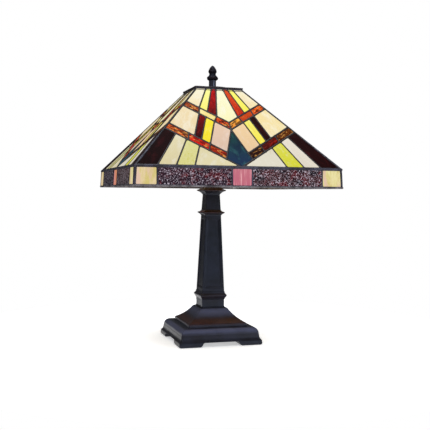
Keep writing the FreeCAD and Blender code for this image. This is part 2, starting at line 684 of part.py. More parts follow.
def shade_glass_parts():
    by_colour = {}
    skirt_height = math.hypot(SHOULDER_Z - RIM_Z - RIM_BAND_HEIGHT, SKIRT_FOOT_HALF - SHOULDER_HALF)
    hip_slope = SLOPE_RUN / SLOPE_LENGTH
    hip_shift = HIP_CLEAR * math.hypot(1, hip_slope)
    panel_foot = EDGE_CLEAR
    panel_head = SLOPE_LENGTH * (FRAME_Z - SHOULDER_Z) / SLOPE_RISE - 0.6
    outline = []
    for sign, s in ((-1, panel_foot), (1, panel_foot), (1, panel_head), (-1, panel_head)):
        outline.append((sign * (SHOULDER_HALF - hip_slope * s - hip_shift), s))
    panel_flat, panel_glass = lattice_and_glass(panel_pieces(), outline)

    skirt_head = skirt_height - EDGE_CLEAR
    skirt_low = 0.3
    foot_x = SKIRT_FOOT_HALF - CORNER_CLEAR
    head_x = SHOULDER_HALF - CORNER_CLEAR
    skirt_outline = [(-foot_x, skirt_low), (foot_x, skirt_low), (head_x, skirt_head), (-head_x, skirt_head)]
    skirt_flat, skirt_glass = lattice_and_glass(skirt_pieces(skirt_height), skirt_outline)

    panel_place = (SHOULDER_HALF, GLASS_TOP_HALF, SHOULDER_Z, PLATE_Z)
    skirt_place = (SKIRT_FOOT_HALF, SHOULDER_HALF, RIM_Z + RIM_BAND_HEIGHT, SHOULDER_Z)
    for side, name in enumerate(SIDES):
        save("panel_lead_" + name, stand_up(panel_flat, *panel_place, side))
        save("skirt_lead_" + name, stand_up(skirt_flat, *skirt_place, side))
        for pane, colour in panel_glass:
            by_colour.setdefault(colour, []).append(stand_up(pane, *panel_place, side))
        for pane, colour in skirt_glass:
            by_colour.setdefault(colour, []).append(stand_up(pane, *skirt_place, side))
    for colour, panes in by_colour.items():
        save("glass_" + colour, *panes)


def bead_ring(half, z, radius):
    """A square ring of round section."""
    outer = square_solid([(half, z - radius), ((half + radius, z), (half, z + radius))])
    inner = square_solid([(half, z - radius), ((half - radius, z), (half, z + radius))])
    return outer.cut(inner)


def rod_between(start, end, radius):
    return Part.makeCylinder(radius, (end - start).Length, start, end - start)


def shade_edge_parts():
    shoulder = bead_ring(SHOULDER_HALF - SHOULDER_BEAD_IN, SHOULDER_Z - SHOULDER_BEAD_DOWN, BEAD_RADIUS - 0.1)
    save("shoulder_lead", shoulder)

    # hips lie on the diagonal, HIP_BEAD_DEPTH inside the ridge
    ridge = Vec(-1, -1, 0) * SLOPE_RUN + Vec(0, 0, -SLOPE_RISE)
    ridge.normalize()
    inward = Vec(1, -1, 0).cross(ridge)
    inward.normalize()
    foot = Vec(-SHOULDER_HALF, -SHOULDER_HALF, SHOULDER_Z) + inward * HIP_BEAD_DEPTH
    head = Vec(-GLASS_TOP_HALF, -GLASS_TOP_HALF, PLATE_Z) + inward * HIP_BEAD_DEPTH
    hip = rod_between(foot, head, BEAD_RADIUS)
    above = box((-SHADE_WIDTH, -SHADE_WIDTH, FRAME_Z), (SHADE_WIDTH, SHADE_WIDTH, TOTAL_HEIGHT))
    hip = hip.cut([shoulder, above])
    hip = max(hip.Solids, key=lambda solid: solid.Volume)
    save("hip_leads", *quarter_turns(hip))

    low = RIM_Z + RIM_BAND_HEIGHT
    inset = CORNER_BEAD_DEPTH / math.sqrt(2)
    start = Vec(-SKIRT_FOOT_HALF + inset, -SKIRT_FOOT_HALF + inset, low - 3)
    end = Vec(-SHOULDER_HALF + inset, -SHOULDER_HALF + inset, SHOULDER_Z + 1)
    corner = rod_between(start, end, CORNER_BEAD_RADIUS)
    below = box((-SHADE_WIDTH, -SHADE_WIDTH, 0), (SHADE_WIDTH, SHADE_WIDTH, low))
    corner = corner.cut([shoulder, hip, below])
    corner = max(corner.Solids, key=lambda solid: solid.Volume)
    save("corner_leads", *quarter_turns(corner))

    middle = RIM_Z + 0.5 * RIM_BAND_HEIGHT
    outer = square_solid([(RIM_HALF - 0.8, RIM_Z), ((RIM_HALF, middle), (RIM_HALF - 0.8, low))])
    inner_half = SKIRT_FOOT_HALF - 5.0
    inner = box((-inner_half, -inner_half, RIM_Z - 1), (inner_half, inner_half, low + 1))
    save("rim_band", outer.cut(inner))

    frame_half = CAP_PLATE_HALF - 1.0
    frame = box((-frame_half, -frame_half, FRAME_Z), (frame_half, frame_half, PLATE_Z))
    opening = frame_half - 6.0
    save("top_frame", frame.cut(box((-opening, -opening, FRAME_Z - 1), (opening, opening, PLATE_Z + 1))))

    half = CAP_PLATE_HALF
    plate = box((-half, -half, PLATE_Z), (half, half, SHADE_TOP))
    uprights = [edge for edge in plate.Edges if abs(edge.Vertexes[0].Z - edge.Vertexes[-1].Z) > 1]
    plate = plate.makeFillet(1.5, uprights)
    bore = disc(STUD_RADIUS + 0.4, 0, TOTAL_HEIGHT)
    vents = quarter_turns(disc(2.0, 0, TOTAL_HEIGHT, 16.0, 16.0))
    save("cap_plate", plate.cut([bore] + vents))

    top = SHADE_TOP + CAP_DISC_THICKNESS
    cap_disc = turned([
        (0, SHADE_TOP), (CAP_DISC_RADIUS, SHADE_TOP), (CAP_DISC_RADIUS, SHADE_TOP + 0.8),
        ((CAP_DISC_RADIUS - 1.0, SHADE_TOP + 1.9), (CAP_DISC_RADIUS - 4.0, SHADE_TOP + 2.3)),
        (8.0, top), (0, top)])
    save("cap_disc", cap_disc.cut(bore))


def finial_parts():
    """A turned riser and a cone-shaped finial, screwed together on the rod's stud."""
    foot = SHADE_TOP + CAP_DISC_THICKNESS
    hole = STUD_RADIUS + BODY_GAP
    riser_top = foot + 11.5
    riser = turned([
        (hole, foot), (7.2, foot), ((6.1, foot + 0.5), (5.6, foot + 1.8)),
        (5.6, riser_top), (hole, riser_top)])
    save("finial_riser", riser)

    body = turned([
        (0.0, riser_top), (5.9, riser_top),
        ((7.9, foot + 13.2), (8.5, foot + 15.2)),
        ((8.1, foot + 16.8), (6.6, foot + 18.4)),
        ((5.4, foot + 20.2), (5.2, foot + 22.4)),
        ((5.9, foot + 24.0), (6.9, foot + 25.2)),
        ((6.5, foot + 26.6), (5.5, foot + 27.4)),
        ((4.3, foot + 31.2), (2.2, foot + 33.8), (0.0, foot + FINIAL_HEIGHT))])
    body = body.cut(disc(hole, foot, STUD_TOP + 1.0))
    save("finial_cone", body)


def main():
    os.makedirs("parts", exist_ok=True)
    base_parts()
    column_parts()
    rod_parts()
    socket_parts()
    bulb_parts()
    shade_glass_parts()
    shade_edge_parts()
    finial_parts()


main()
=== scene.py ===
import cmath
import math
import random

import bmesh
import bpy
from mathutils import Matrix, Vector, noise


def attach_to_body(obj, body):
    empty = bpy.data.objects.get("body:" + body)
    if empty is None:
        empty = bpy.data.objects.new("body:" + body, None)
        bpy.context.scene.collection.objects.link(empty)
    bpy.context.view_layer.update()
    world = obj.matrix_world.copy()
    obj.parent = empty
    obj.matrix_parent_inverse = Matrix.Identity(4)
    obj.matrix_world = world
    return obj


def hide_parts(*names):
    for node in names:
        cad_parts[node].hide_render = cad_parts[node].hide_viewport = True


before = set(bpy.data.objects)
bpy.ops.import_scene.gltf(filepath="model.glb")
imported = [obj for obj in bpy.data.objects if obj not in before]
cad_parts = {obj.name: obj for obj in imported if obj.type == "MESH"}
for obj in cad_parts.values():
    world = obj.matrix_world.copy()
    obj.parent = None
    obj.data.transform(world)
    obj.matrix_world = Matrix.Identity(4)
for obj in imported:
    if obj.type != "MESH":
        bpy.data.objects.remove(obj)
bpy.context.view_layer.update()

# Stained glass table lamp. Metres in the scene; panels and profiles are drawn in millimetres.

MM = 0.001
SIDES = ("front", "right", "back", "left")
CORNERS = ((-1, -1), (1, -1), (1, 1), (-1, 1))
QUARTER_TURNS = [Matrix.Rotation(k * math.pi / 2, 3, "Z") for k in range(4)]

# heights and half widths of the model, mm
SHADE_TOP = 388.7
PLATE_Z = 386.7
FRAME_Z = 384.3
SHOULDER_Z = 264.3
RIM_Z = 236.3
RIM_BAND_HEIGHT = 3.0
RIM_HALF = 152.4
SHOULDER_HALF = 150.0
SKIRT_FOOT_HALF = 151.4
GLASS_TOP_HALF = 35.6
SLOPE_RUN = SHOULDER_HALF - GLASS_TOP_HALF
SLOPE_RISE = PLATE_Z - SHOULDER_Z
SLOPE_LENGTH = math.hypot(SLOPE_RUN, SLOPE_RISE)
SKIRT_RISE = SHOULDER_Z - RIM_Z - RIM_BAND_HEIGHT
SKIRT_HEIGHT = math.hypot(SKIRT_RISE, SKIRT_FOOT_HALF - SHOULDER_HALF)

# out from the plane of a panel, mm; panes reach TUCK under the leads
GLASS_FRONT = -0.3
GLASS_BACK = -3.3
LEAD_FRONT = 0.25
LEAD_BACK = -3.9
TUCK = 0.55

# half of a lead strip's section: (across, up), each as a share of its half width and height
CAME = ((-1.0, 0.0), (-0.97, 0.35), (-0.72, 0.75), (-0.35, 0.95), (0.0, 1.0),
        (0.35, 0.95), (0.72, 0.75), (0.97, 0.35), (1.0, 0.0))


# ---- shader helpers ----

def rgb(red, green, blue):
    """Display colour, 0 to 255, as linear values."""
    values = []
    for channel in (red, green, blue):
        c = channel / 255
        values.append(c / 12.92 if c <= 0.04045 else ((c + 0.055) / 1.055) ** 2.4)
    return (*values, 1.0)


class Shader:
    """A node material with one Principled shader."""

    def __init__(self, name, **sockets):
        self.material = bpy.data.materials.new(name)
        self.material.use_nodes = True
        self.tree = self.material.node_tree
        self.tree.nodes.clear()
        output = self.tree.nodes.new("ShaderNodeOutputMaterial")
        self.bsdf = self.tree.nodes.new("ShaderNodeBsdfPrincipled")
        self.put(output.inputs[0], self.bsdf.outputs[0])
        for key, value in sockets.items():
            self.to(key.replace("_", " "), value)

    def put(self, socket, value):
        if isinstance(value, bpy.types.NodeSocket):
            self.tree.links.new(value, socket)
        else:
            socket.default_value = value

    def to(self, name, value):
        self.put(self.bsdf.inputs[name], value)

    def node(self, kind, inputs, output=0, **settings):
        """One output of a new node; inputs are given by name or by number."""
        node = self.tree.nodes.new("ShaderNode" + kind)
        for key, value in settings.items():
            setattr(node, key, value)
        for key, value in inputs.items():
            self.put(node.inputs[key], value)
        return node.outputs[output]

    def attribute(self, name, output="Color"):
        return self.node("Attribute", {}, output, attribute_name=name)

    def millimetres(self, stretch=(1.0, 1.0, 1.0)):
        """Place on the object, in mm."""
        place = self.node("TexCoord", {}, "Object")
        return self.vector("MULTIPLY", place, tuple(s / MM for s in stretch))

    def vector(self, operation, first, second=(0.0, 0.0, 0.0), output="Vector"):
        return self.node("VectorMath", {0: first, 1: second}, output, operation=operation)

    def noise(self, vector, scale, detail=3.0, roughness=0.55, distortion=0.0):
        return self.node("TexNoise", {"Vector": vector, "Scale": scale, "Detail": detail,
                                      "Roughness": roughness, "Distortion": distortion})

    def span(self, *numbers):
        """A value carried from (low, high) to (0, 1), or to the last two numbers, eased at both ends."""
        return self.node("MapRange", dict(enumerate(numbers)), interpolation_type="SMOOTHSTEP")

    def times(self, first, second):
        return self.node("Math", {0: first, 1: second}, operation="MULTIPLY")

    def mix(self, share, first, second):
        return self.node("Mix", {0: share, 6: first, 7: second}, 2, data_type="RGBA")

    def bump(self, height, strength, distance):
        self.to("Normal", self.node("Bump", {"Height": height, "Strength": strength, "Distance": distance}))


# ---- mesh helpers ----

def attach(piece, body, node):
    """Puts the piece on the body that it rides on and hides the CAD node that it stands for."""
    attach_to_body(piece, body)
    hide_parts(node)


def in_scene(name, data):
    """A new object, put in the scene."""
    piece = bpy.data.objects.new(name, data)
    bpy.context.scene.collection.objects.link(piece)
    return piece


def mesh_object(name, bm, material, sharp=None):
    """An object from a bmesh drawn in mm in the CAD frame."""
    bmesh.ops.recalc_face_normals(bm, faces=bm.faces)
    bm.transform(Matrix.Scale(MM, 4))
    mesh = bpy.data.meshes.new(name)
    bm.to_mesh(mesh)
    bm.free()
    return finish_object(name, mesh, material, sharp)


def finish_object(name, mesh, material, sharp=None):
    """An object shaded smooth, but for edges that turn by more than sharp degrees."""
    piece = in_scene(name, mesh)
    mesh.materials.append(material)
    mesh.shade_smooth()
    if sharp is not None:
        mesh.set_sharp_from_angle(angle=math.radians(sharp))
    return piece


def through(start, middle, end, count=8):
    """Points of the circle arc from start through middle to end, without start."""
    a, b, c = (complex(*point) for point in (start, middle, end))
    w = (c - a) / (b - a)
    centre = a + (b - a) * (w - abs(w) ** 2) / (2j * w.imag)
    turn = 2 * math.pi
    to_middle = cmath.phase((b - centre) / (a - centre)) % turn
    sweep = cmath.phase((c - centre) / (a - centre)) % turn
    if to_middle > sweep:
        sweep -= turn
    points = [centre + (a - centre) * cmath.exp(1j * sweep * k / count) for k in range(1, count + 1)]
    return [(point.real, point.imag) for point in points]


def outline(steps):
    """A profile as points. A step is a point, or (through, end) for an arc."""
    points = [steps[0]]
    for step in steps[1:]:
        if isinstance(step[0], tuple):
            points += through(points[-1], *step)
        else:
            points.append(step)
    return points


def eased(points, radius, least=18.0):
    """The profile with every corner sharper than least degrees rounded."""
    result = [points[0]]
    for before, here, after in zip(points, points[1:], points[2:]):
        a = Vector(before) - Vector(here)
        b = Vector(after) - Vector(here)
        angle = math.degrees(a.angle(b)) if a.length * b.length > 0 else 180.0
        if angle > 180 - least:
            result.append(here)
            continue
        cut = min(radius, 0.45 * a.length, 0.45 * b.length)
        start = Vector(here) + a.normalized() * cut
        end = Vector(here) + b.normalized() * cut
        for share in (0.0, 0.25, 0.5, 0.75, 1.0):
            low = start.lerp(Vector(here), share)
            high = Vector(here).lerp(end, share)
            result.append(tuple(low.lerp(high, share)))
    result.append(points[-1])
    return result


def corner_arc(cx, cy, z, radius, start, turn):
    """Points of a quarter circle about (cx, cy) from the angle start, in turn steps."""
    angles = [start + (k / turn) * math.pi / 2 for k in range(turn + 1)]
    return [Vector((cx + radius * math.cos(a), cy + radius * math.sin(a), z)) for a in angles]


def square_ring(half, z, corner, across=6):
    """A rounded square, counter-clockwise, with across steps along each side."""
    corner = min(corner, half * 0.6)
    inner = half - corner
    side = corner_arc(inner, -inner, z, corner, -math.pi / 2, 5)
    side += [Vector((half, inner * (2 * k / across - 1), z)) for k in range(1, across)]
    return [spin @ point for spin in QUARTER_TURNS for point in side]


def loft(bm, rings, capped=(True, True)):
    """Quads between rings of equal length, closed round."""
    rows = [[bm.verts.new(point) for point in ring] for ring in rings]
    count = len(rows[0])
    for low, high in zip(rows, rows[1:]):
        for k in range(count):
            bm.faces.new((low[k], low[(k + 1) % count], high[(k + 1) % count], high[k]))
    if capped[0]:
        bm.faces.new(list(reversed(rows[0])))
    if capped[1]:
        bm.faces.new(rows[-1])


def set_float(mesh, name, values):
    layer = mesh.attributes.new(name, "FLOAT", "POINT")
    layer.data.foreach_set("value", values)


def clamped(value):
    return min(1.0, max(0.0, value))


def keyed(keys, z):
    """Straight-line value at z from ((z, value), ...)."""
    if z <= keys[0][0]:
        return keys[0][1]
    for (z1, v1), (z2, v2) in zip(keys, keys[1:]):
        if z <= z2:
            return v1 + (v2 - v1) * (z - z1) / max(z2 - z1, 1e-6)
    return keys[-1][1]


def by_height(piece, name, keys):
    """An attribute that follows ((z, value), ...) up the piece."""
    set_float(piece.data, name, [keyed(keys, vertex.co.z / MM) for vertex in piece.data.vertices])


def cast_object(name, bm, material, body, node, wear_and_warm_glow=None, sharp=50):
    """A cast or turned piece, its flat faces shaded flat and its brown set by height: rubbed wear, and on
    the capital top a painted warm glow.
    """
    piece = mesh_object(name, bm, material, sharp)
    piece.modifiers.new("normals", "WEIGHTED_NORMAL").keep_sharp = True
    if wear_and_warm_glow:
        by_height(piece, "wear_and_warm_glow", wear_and_warm_glow)
    attach(piece, body, node)
    return piece


def square_piece(name, node, steps, corner, round_off, wear_and_warm_glow):
    """A piece of the column, rounded square in plan, from its half-width profile."""
    bm = bmesh.new()
    loft(bm, [square_ring(half, z, corner) for half, z in eased(outline(steps), round_off)])
    cast_object(name, bm, BRONZE, "stand", node, wear_and_warm_glow)


# ---- bronze ----

def bronze_material(name, smooth, rough, level):
    """Oil rubbed bronze: brown at set heights, partly rubbed wear and partly a painted warm glow of the lit
    shade, and a painted bluish sheen at set heights.
    """
    shader = Shader(name, Roughness=smooth, Specular_IOR_Level=level, Specular_Tint=(0.72, 0.8, 1.0, 1.0))
    place = shader.millimetres()
    broad = shader.noise(place, 0.045, 4.0, 0.6)
    fine = shader.noise(place, 0.55, 5.0, 0.65)
    dark = shader.mix(shader.span(broad, 0.35, 0.68), rgb(13, 13, 17), rgb(24, 26, 37))
    brown = shader.mix(shader.span(fine, 0.3, 0.7), rgb(46, 24, 12), rgb(84, 44, 20))
    # brown: rubbed wear on edges, and on the capital top a painted warm glow of the lit shade
    wear_and_warm_glow = shader.times(shader.attribute("wear_and_warm_glow", "Fac"), shader.span(fine, 0.12, 0.5, 0.55, 1.0))
    colour = shader.mix(wear_and_warm_glow, dark, brown)
    # a painted bluish sheen, set by height
    painted_sheen = shader.times(shader.attribute("painted_sheen", "Fac"), shader.span(broad, 0.2, 0.6, 0.7, 1.0))
    colour = shader.mix(painted_sheen, colour, rgb(80, 83, 108))
    shader.to("Base Color", colour)
    shader.to("Roughness", shader.span(fine, 0.25, 0.75, smooth, rough))
    shader.bump(shader.noise(place, 0.9, 4.0, 0.6), 0.12, 0.0003)
    return shader.material


BRONZE = bronze_material("bronze", 0.3, 0.42, 0.3)
POLISHED = bronze_material("bronze_polished", 0.12, 0.22, 0.9)
DULL = bronze_material("bronze_dull", 0.42, 0.55, 0.12)


# ---- base and column ----

BASE_HALF = 64.75
APRON_HALF = 61.0
FOOT_WIDTH = 37.0
FOOT_TOP = 7.0
PLINTH_HALF = 17.8
SHAFT_FOOT_Z, SHAFT_HEAD_Z = 77.4, 194.0
SHAFT_FOOT_HALF, SHAFT_HEAD_HALF = 17.6, 12.7
# how deep the shaft's faces are sunk, by the distance from their edge
PANEL_SINK = ((2.9, 0.0), (3.1, 0.12), (3.4, 0.62), (3.6, 0.72), (4.5, 0.72), (4.8, 0.9), (5.1, 1.32),
              (5.3, 1.4))

# how brown the base is by height
BASE_WEAR_AND_WARM_GLOW = ((1.0, 0.0), (9.0, 0.04), (14.0, 0.06), (20.0, 0.06), (26.0, 0.0), (28.0, 0.05),
             (31.0, 0.35), (33.0, 0.75), (37.0, 0.45), (40.5, 0.04), (52.0, 0.0))
# heights of the painted bluish sheen on the base
BASE_PAINTED_SHEEN = ((17.0, 0.0), (20.0, 0.25), (22.5, 0.8), (25.8, 0.9), (26.4, 0.1), (38.0, 0.0), (43.0, 0.5),
               (48.5, 0.8), (51.0, 0.5), (52.2, 0.0))


def make_base():
    profile = outline([
        (47.8, 20.0), (47.8, FOOT_TOP),
        (64.4, FOOT_TOP), (63.4, 8.6), ((61.9, 10.6), (APRON_HALF, 13.4)), (60.7, 16.4), (60.3, 17.4),
        ((58.6, 22.9), (54.6, 26.0)), (53.4, 26.3), (47.0, 26.4), (45.8, 27.4), (45.6, 31.0),
        ((31.5, 40.6), (22.9, 50.2)), ((21.6, 51.6), (19.6, 52.2))])
    bm = bmesh.new()
    steps = eased(profile, 0.7)
    loft(bm, [square_ring(half, z, 2.6 if half > 40 else 1.6 + half / 40) for half, z in steps])
    piece = cast_object("cast_base", bm, BRONZE, "stand", "base_casting", BASE_WEAR_AND_WARM_GLOW)
    # the painted bluish sheen on the ovolo and the slope top
    by_height(piece, "painted_sheen", BASE_PAINTED_SHEEN)


def foot_ring(low, outer, z):
    """A rounded square from low to outer on x and y; its outer corner is the rounder one."""
    points = []
    rounds = ((outer, outer, 2.6), (low, outer, 1.4), (low, low, 1.4), (outer, low, 1.4))
    for quarter, (x, y, radius) in enumerate(rounds):
        cx = x - radius if x == outer else x + radius
        cy = y - radius if y == outer else y + radius
        points += corner_arc(cx, cy, z, radius, quarter * math.pi / 2, 5)
    return points


def make_feet():
    gap = BASE_HALF - FOOT_WIDTH
    # how far the outer face and the inner ends draw in, and the height
    levels = ((2.6, 5.2, 0.25), (1.3, 4.2, 0.5), (0.5, 2.8, 1.3), (0.05, 1.6, 2.6), (0.0, 0.8, 3.9),
              (0.1, 0.2, 5.2), (0.25, -0.6, 6.1), (0.35, -2.2, FOOT_TOP), (0.6, -2.2, FOOT_TOP + 0.4))
    bm = bmesh.new()
    for spin in QUARTER_TURNS:
        rings = [foot_ring(gap + inward, BASE_HALF - outward, z) for outward, inward, z in levels]
        loft(bm, [[spin @ point for point in ring] for ring in rings])
    cast_object("bracket_feet_cast", bm, BRONZE, "stand", "bracket_feet", BASE_WEAR_AND_WARM_GLOW, sharp=60)


def shaft_ring(z):
    """One level of the tapered shaft, its faces sunk in two steps inside a margin."""
    half = keyed(((SHAFT_FOOT_Z, SHAFT_FOOT_HALF), (SHAFT_HEAD_Z, SHAFT_HEAD_HALF)), z)
    end_margin = min(z - SHAFT_FOOT_Z, SHAFT_HEAD_Z - z) - 1.5
    corner = 0.7
    margins = (1.6, 2.9, 3.1, 3.4, 3.6, 4.5, 4.8, 5.1, 5.3, 7.0)
    side = corner_arc(half - corner, corner - half, z, corner, -math.pi / 2, 3)
    for place in (*margins, half, *(2 * half - m for m in reversed(margins))):
        depth = keyed(PANEL_SINK, min(place, 2 * half - place, end_margin))
        side.append(Vector((half - depth, place - half, z)))
    return [spin @ point for spin in QUARTER_TURNS for point in side]


def make_column():
    square_piece("plinth", "plinth_block",
                 [(18.3, 52.1), (18.3, 53.2), (PLINTH_HALF, 54.0), (PLINTH_HALF, 64.7)],
                 1.1, 0.3, ((52.0, 0.05), (54.0, 0.0), (64.0, 0.05)))
    square_piece("ring_lower", "lower_ring",
                 [(PLINTH_HALF, 64.6), (18.3, 65.2), ((19.4, 67.6), (20.9, 69.9)), (20.9, 71.6),
                  ((19.0, 73.8), (18.2, 76.4)), (SHAFT_FOOT_HALF, SHAFT_FOOT_Z)],
                 1.2, 0.45, ((64.0, 0.0), (70.0, 0.15), (72.5, 0.1), (77.0, 0.0)))

    steps = (0.0, 1.5, 4.4, 4.6, 4.9, 5.1, 6.0, 6.3, 6.6, 6.8, 10.0, 22.0, 40.0)
    levels = [SHAFT_FOOT_Z + step for step in steps]
    levels += [SHAFT_HEAD_Z - step for step in reversed(steps)]
    bm = bmesh.new()
    loft(bm, [shaft_ring(z) for z in levels])
    cast_object("shaft", bm, BRONZE, "stand", "tapered_shaft",
                ((SHAFT_FOOT_Z, 0.03), (100.0, 0.0), (170.0, 0.0), (SHAFT_HEAD_Z, 0.04)))

    square_piece("ring_upper", "upper_ring",
                 [(12.9, SHAFT_HEAD_Z), (13.2, 194.9), ((14.8, 196.5), (17.0, 197.9)), (17.2, 198.8),
                  (16.9, 199.7), ((13.8, 200.9), (12.3, 203.4))],
                 1.0, 0.4, ((194.0, 0.02), (197.5, 0.1), (199.5, 0.65), (201.5, 0.45), (203.4, 0.05)))
    square_piece("neck", "column_neck", [(12.3, 203.3), (12.2, 204.0), (10.95, 225.6), (10.9, 226.3)],
                 0.7, 0.3, ((203.0, 0.04), (226.0, 0.02)))
    # the capital's top is browned by height: a painted warm glow from the lit shade above it
    square_piece("capital_cast", "capital",
                 [(10.9, 226.2), ((14.0, 229.9), (18.2, 232.2)), ((18.6, 232.9), (18.2, 233.8)),
                  ((15.4, 234.9), (13.6, 236.8)), (12.8, 240.0)],
                 1.1, 0.4, ((226.0, 0.0), (231.5, 0.05), (233.0, 0.5), (240.0, 0.6)))


# ---- lead ----

def lead_material(name, low, high, roughness, metallic, sheen_stops_at=None):
    """Blackened lead: low and high are its two tones; above the given height it keeps to the low one, so
    that below it the high tone is a painted grey-blue sheen.
    """
    shader = Shader(name, Metallic=metallic, Roughness=roughness, Specular_IOR_Level=0.3)
    place = shader.millimetres()
    patches = shader.noise(place, 0.07, 4.0, 0.6)
    fine = shader.noise(place, 0.6, 4.0, 0.6)
    share = shader.span(patches, 0.32, 0.7)
    if sheen_stops_at:
        # above this height the painted sheen is left out
        height = shader.node("SeparateXYZ", {0: place}, "Z")
        share = shader.times(share, shader.span(height, sheen_stops_at, sheen_stops_at + 30.0, 1.0, 0.0))
    colour = shader.mix(share, low, high)
    colour = shader.mix(shader.span(fine, 0.55, 0.8, 0.0, 0.5), colour, rgb(60, 38, 30))
    shader.to("Base Color", colour)
    shader.to("Roughness", shader.span(fine, 0.25, 0.75, roughness - 0.08, roughness + 0.1))
    shader.bump(fine, 0.15, 0.0004)
    return shader.material


LEAD = lead_material("lead_lines", rgb(20, 13, 12), rgb(34, 26, 27), 0.45, 0.0)
# the hips: a painted grey-blue sheen on their lower part, dark above 290 mm
HIP_METAL = lead_material("lead_hips", rgb(24, 19, 21), rgb(70, 68, 82), 0.42, 0.1, 290.0)
EDGE_METAL = lead_material("lead_edges", rgb(32, 28, 34), rgb(72, 70, 86), 0.4, 0.1)
RIM_METAL = lead_material("lead_rim", rgb(58, 53, 57), rgb(128, 122, 126), 0.4, 0.15)
CAP_METAL = lead_material("lead_cap", rgb(32, 27, 29), rgb(56, 49, 54), 0.4, 0.1)


# ---- finial and cap ----

# the pine cone by height above the finial's foot: two rows of leaves, then rows of scales
LEAVES_FOOT, LEAVES_SPLIT, LEAVES_TOP, SCALES_FOOT, SCALES_TOP = 11.6, 15.4, 20.5, 22.0, 34.6
SCALE_ROW, SCALES_ROUND, LOBES = 2.7, 8, 4.5


def turned_ring(radius, z, count):
    angles = [k * 2 * math.pi / count for k in range(count)]
    return [Vector((radius * math.cos(a), radius * math.sin(a), z)) for a in angles]


def cone_swell(height, angle):
    """How far the finial's leaves, and above them its rows of scales, stand out."""
    if height < LEAVES_TOP:
        offset = 0.0 if height < LEAVES_SPLIT else math.pi / 2
        swell = 0.55 * (abs(math.sin(angle * LOBES + offset)) - 0.5)
        return swell * clamped((height - LEAVES_FOOT) / 2.0) * clamped((LEAVES_TOP - height) / 3.0)
    row = (height - SCALES_FOOT) / SCALE_ROW
    base = math.floor(row)
    up = row - base
    across = (angle * SCALES_ROUND / (2 * math.pi) + 0.5 * (base % 2)) % 1.0 - 0.5
    scale = max(0.0, 1.0 - abs(across) * 2.0 * (0.75 + 0.6 * up))
    swell = 0.5 * scale ** 0.6 * (1.0 - 0.45 * up) - 0.22
    return swell * clamped((height - LEAVES_TOP) / 2.0) * clamped((SCALES_TOP - height) / 2.0)


def make_finial():
    foot = SHADE_TOP + 3.0
    bm = bmesh.new()
    riser = eased(outline([(3.5, foot), (7.2, foot), ((6.1, foot + 0.5), (5.6, foot + 1.8)),
                           (5.6, foot + 11.6), (3.5, foot + 11.6)]), 0.3)
    loft(bm, [turned_ring(r, z, 48) for r, z in riser])
    cast_object("finial_neck", bm, POLISHED, "finial", "finial_riser",
                ((foot, 0.1), (foot + 3, 0.0), (foot + 12, 0.1)))

    # the cone, by height above the foot: a ring of leaves, then overlapping scales up to the tip
    profile = outline([(5.5, 11.4), (6.4, 11.9), ((8.0, 13.3), (8.5, 15.2)), ((8.0, 16.9), (6.5, 18.3)),
                       ((5.4, 20.0), (5.0, 22.0)), ((5.4, 23.2), (6.5, 24.6)), ((6.3, 26.6), (5.3, 28.8)),
                       ((3.4, 32.2), (0.4, 34.9))])
    count, steps = 112, 90
    rows = []
    for k in range(steps + 1):
        place = k / steps * (len(profile) - 1)
        index = min(int(place), len(profile) - 2)
        radius, height = Vector(profile[index]).lerp(Vector(profile[index + 1]), place - index)
        ring = turned_ring(1.0, foot + height, count)
        for n, point in enumerate(ring):
            point.xy *= radius + cone_swell(height, 2 * math.pi * n / count)
        rows.append(ring)
    bm = bmesh.new()
    loft(bm, rows)
    piece = mesh_object("finial_pine_cone", bm, DULL)
    by_height(piece, "wear_and_warm_glow", ((foot + 12, 0.05), (foot + 15, 0.16), (foot + 20, 0.0), (foot + 25, 0.12),
                              (foot + 35, 0.05)))
    attach(piece, "finial", "finial_cone")


def make_cap():
    bm = bmesh.new()
    steps = eased([(37.2, PLATE_Z - 0.1), (38.0, PLATE_Z), (38.0, SHADE_TOP), (36.6, SHADE_TOP + 0.15),
                   (8.0, SHADE_TOP + 0.35)], 0.5)
    rings = []
    for half, z in steps:
        ring = square_ring(half, z, 2.0, across=24)
        for point in ring:
            edge = noise.noise(Vector((point.x, point.y, 0.0)) * 0.09)
            point.z += 0.25 * noise.noise(Vector((point.x, point.y, 5.0)) * 0.06)
            if half > 30:
                point.xy *= 1 + 0.004 * (edge - 1)
        rings.append(ring)
    loft(bm, rings)
    cast_object("top_plate", bm, CAP_METAL, "shade", "cap_plate")

    bm = bmesh.new()
    steps = eased(outline([(27.6, 0.1), (28.0, 0.3), (28.0, 0.9), ((27.0, 1.9), (24.0, 2.3)), (12.0, 2.75),
                           (10.5, 2.5), (9.0, 3.0), (4.0, 3.0)]), 0.3)
    loft(bm, [turned_ring(r, SHADE_TOP + rise, 96) for r, rise in steps])
    cast_object("top_disc", bm, BRONZE, "shade", "cap_disc", ((SHADE_TOP, 0.2), (SHADE_TOP + 3, 0.1)))


# ---- panel lines ----

class Line:
    """A lead line through two points of a panel drawn flat: x across, s up the slope."""

    def __init__(self, start, end, half):
        self.start = Vector(start)
        self.end = Vector(end)
        self.half = half

    def mirrored(self):
        return Line((-self.start.x, self.start.y), (-self.end.x, self.end.y), self.half)

    def direction(self):
        return (self.end - self.start).normalized()

    def along(self, point):
        return (Vector(point) - self.start).dot(self.direction())


def meet(first, second):
    d1, d2 = first.direction(), second.direction()
    gap = second.start - first.start
    return first.start + d1 * (gap.cross(d2) / d1.cross(d2))


RAY, BAND, EDGE, HIP = 1.35, 1.75, 2.7, 2.2
UPPER_BAND, UPPER_RISE = (76.3, 91.3), 0.77
LOWER_BAND, LOWER_RISE = (0.7, 17.0), 0.765
RAY_LEAN = 0.318


def on_band(level, rise, x):
    return (x, level + rise * x)


def corners_of(lines):
    """Where each line round a pane meets the one before it."""
    return [meet(before, line) for before, line in zip(lines[-1:] + lines, lines)]


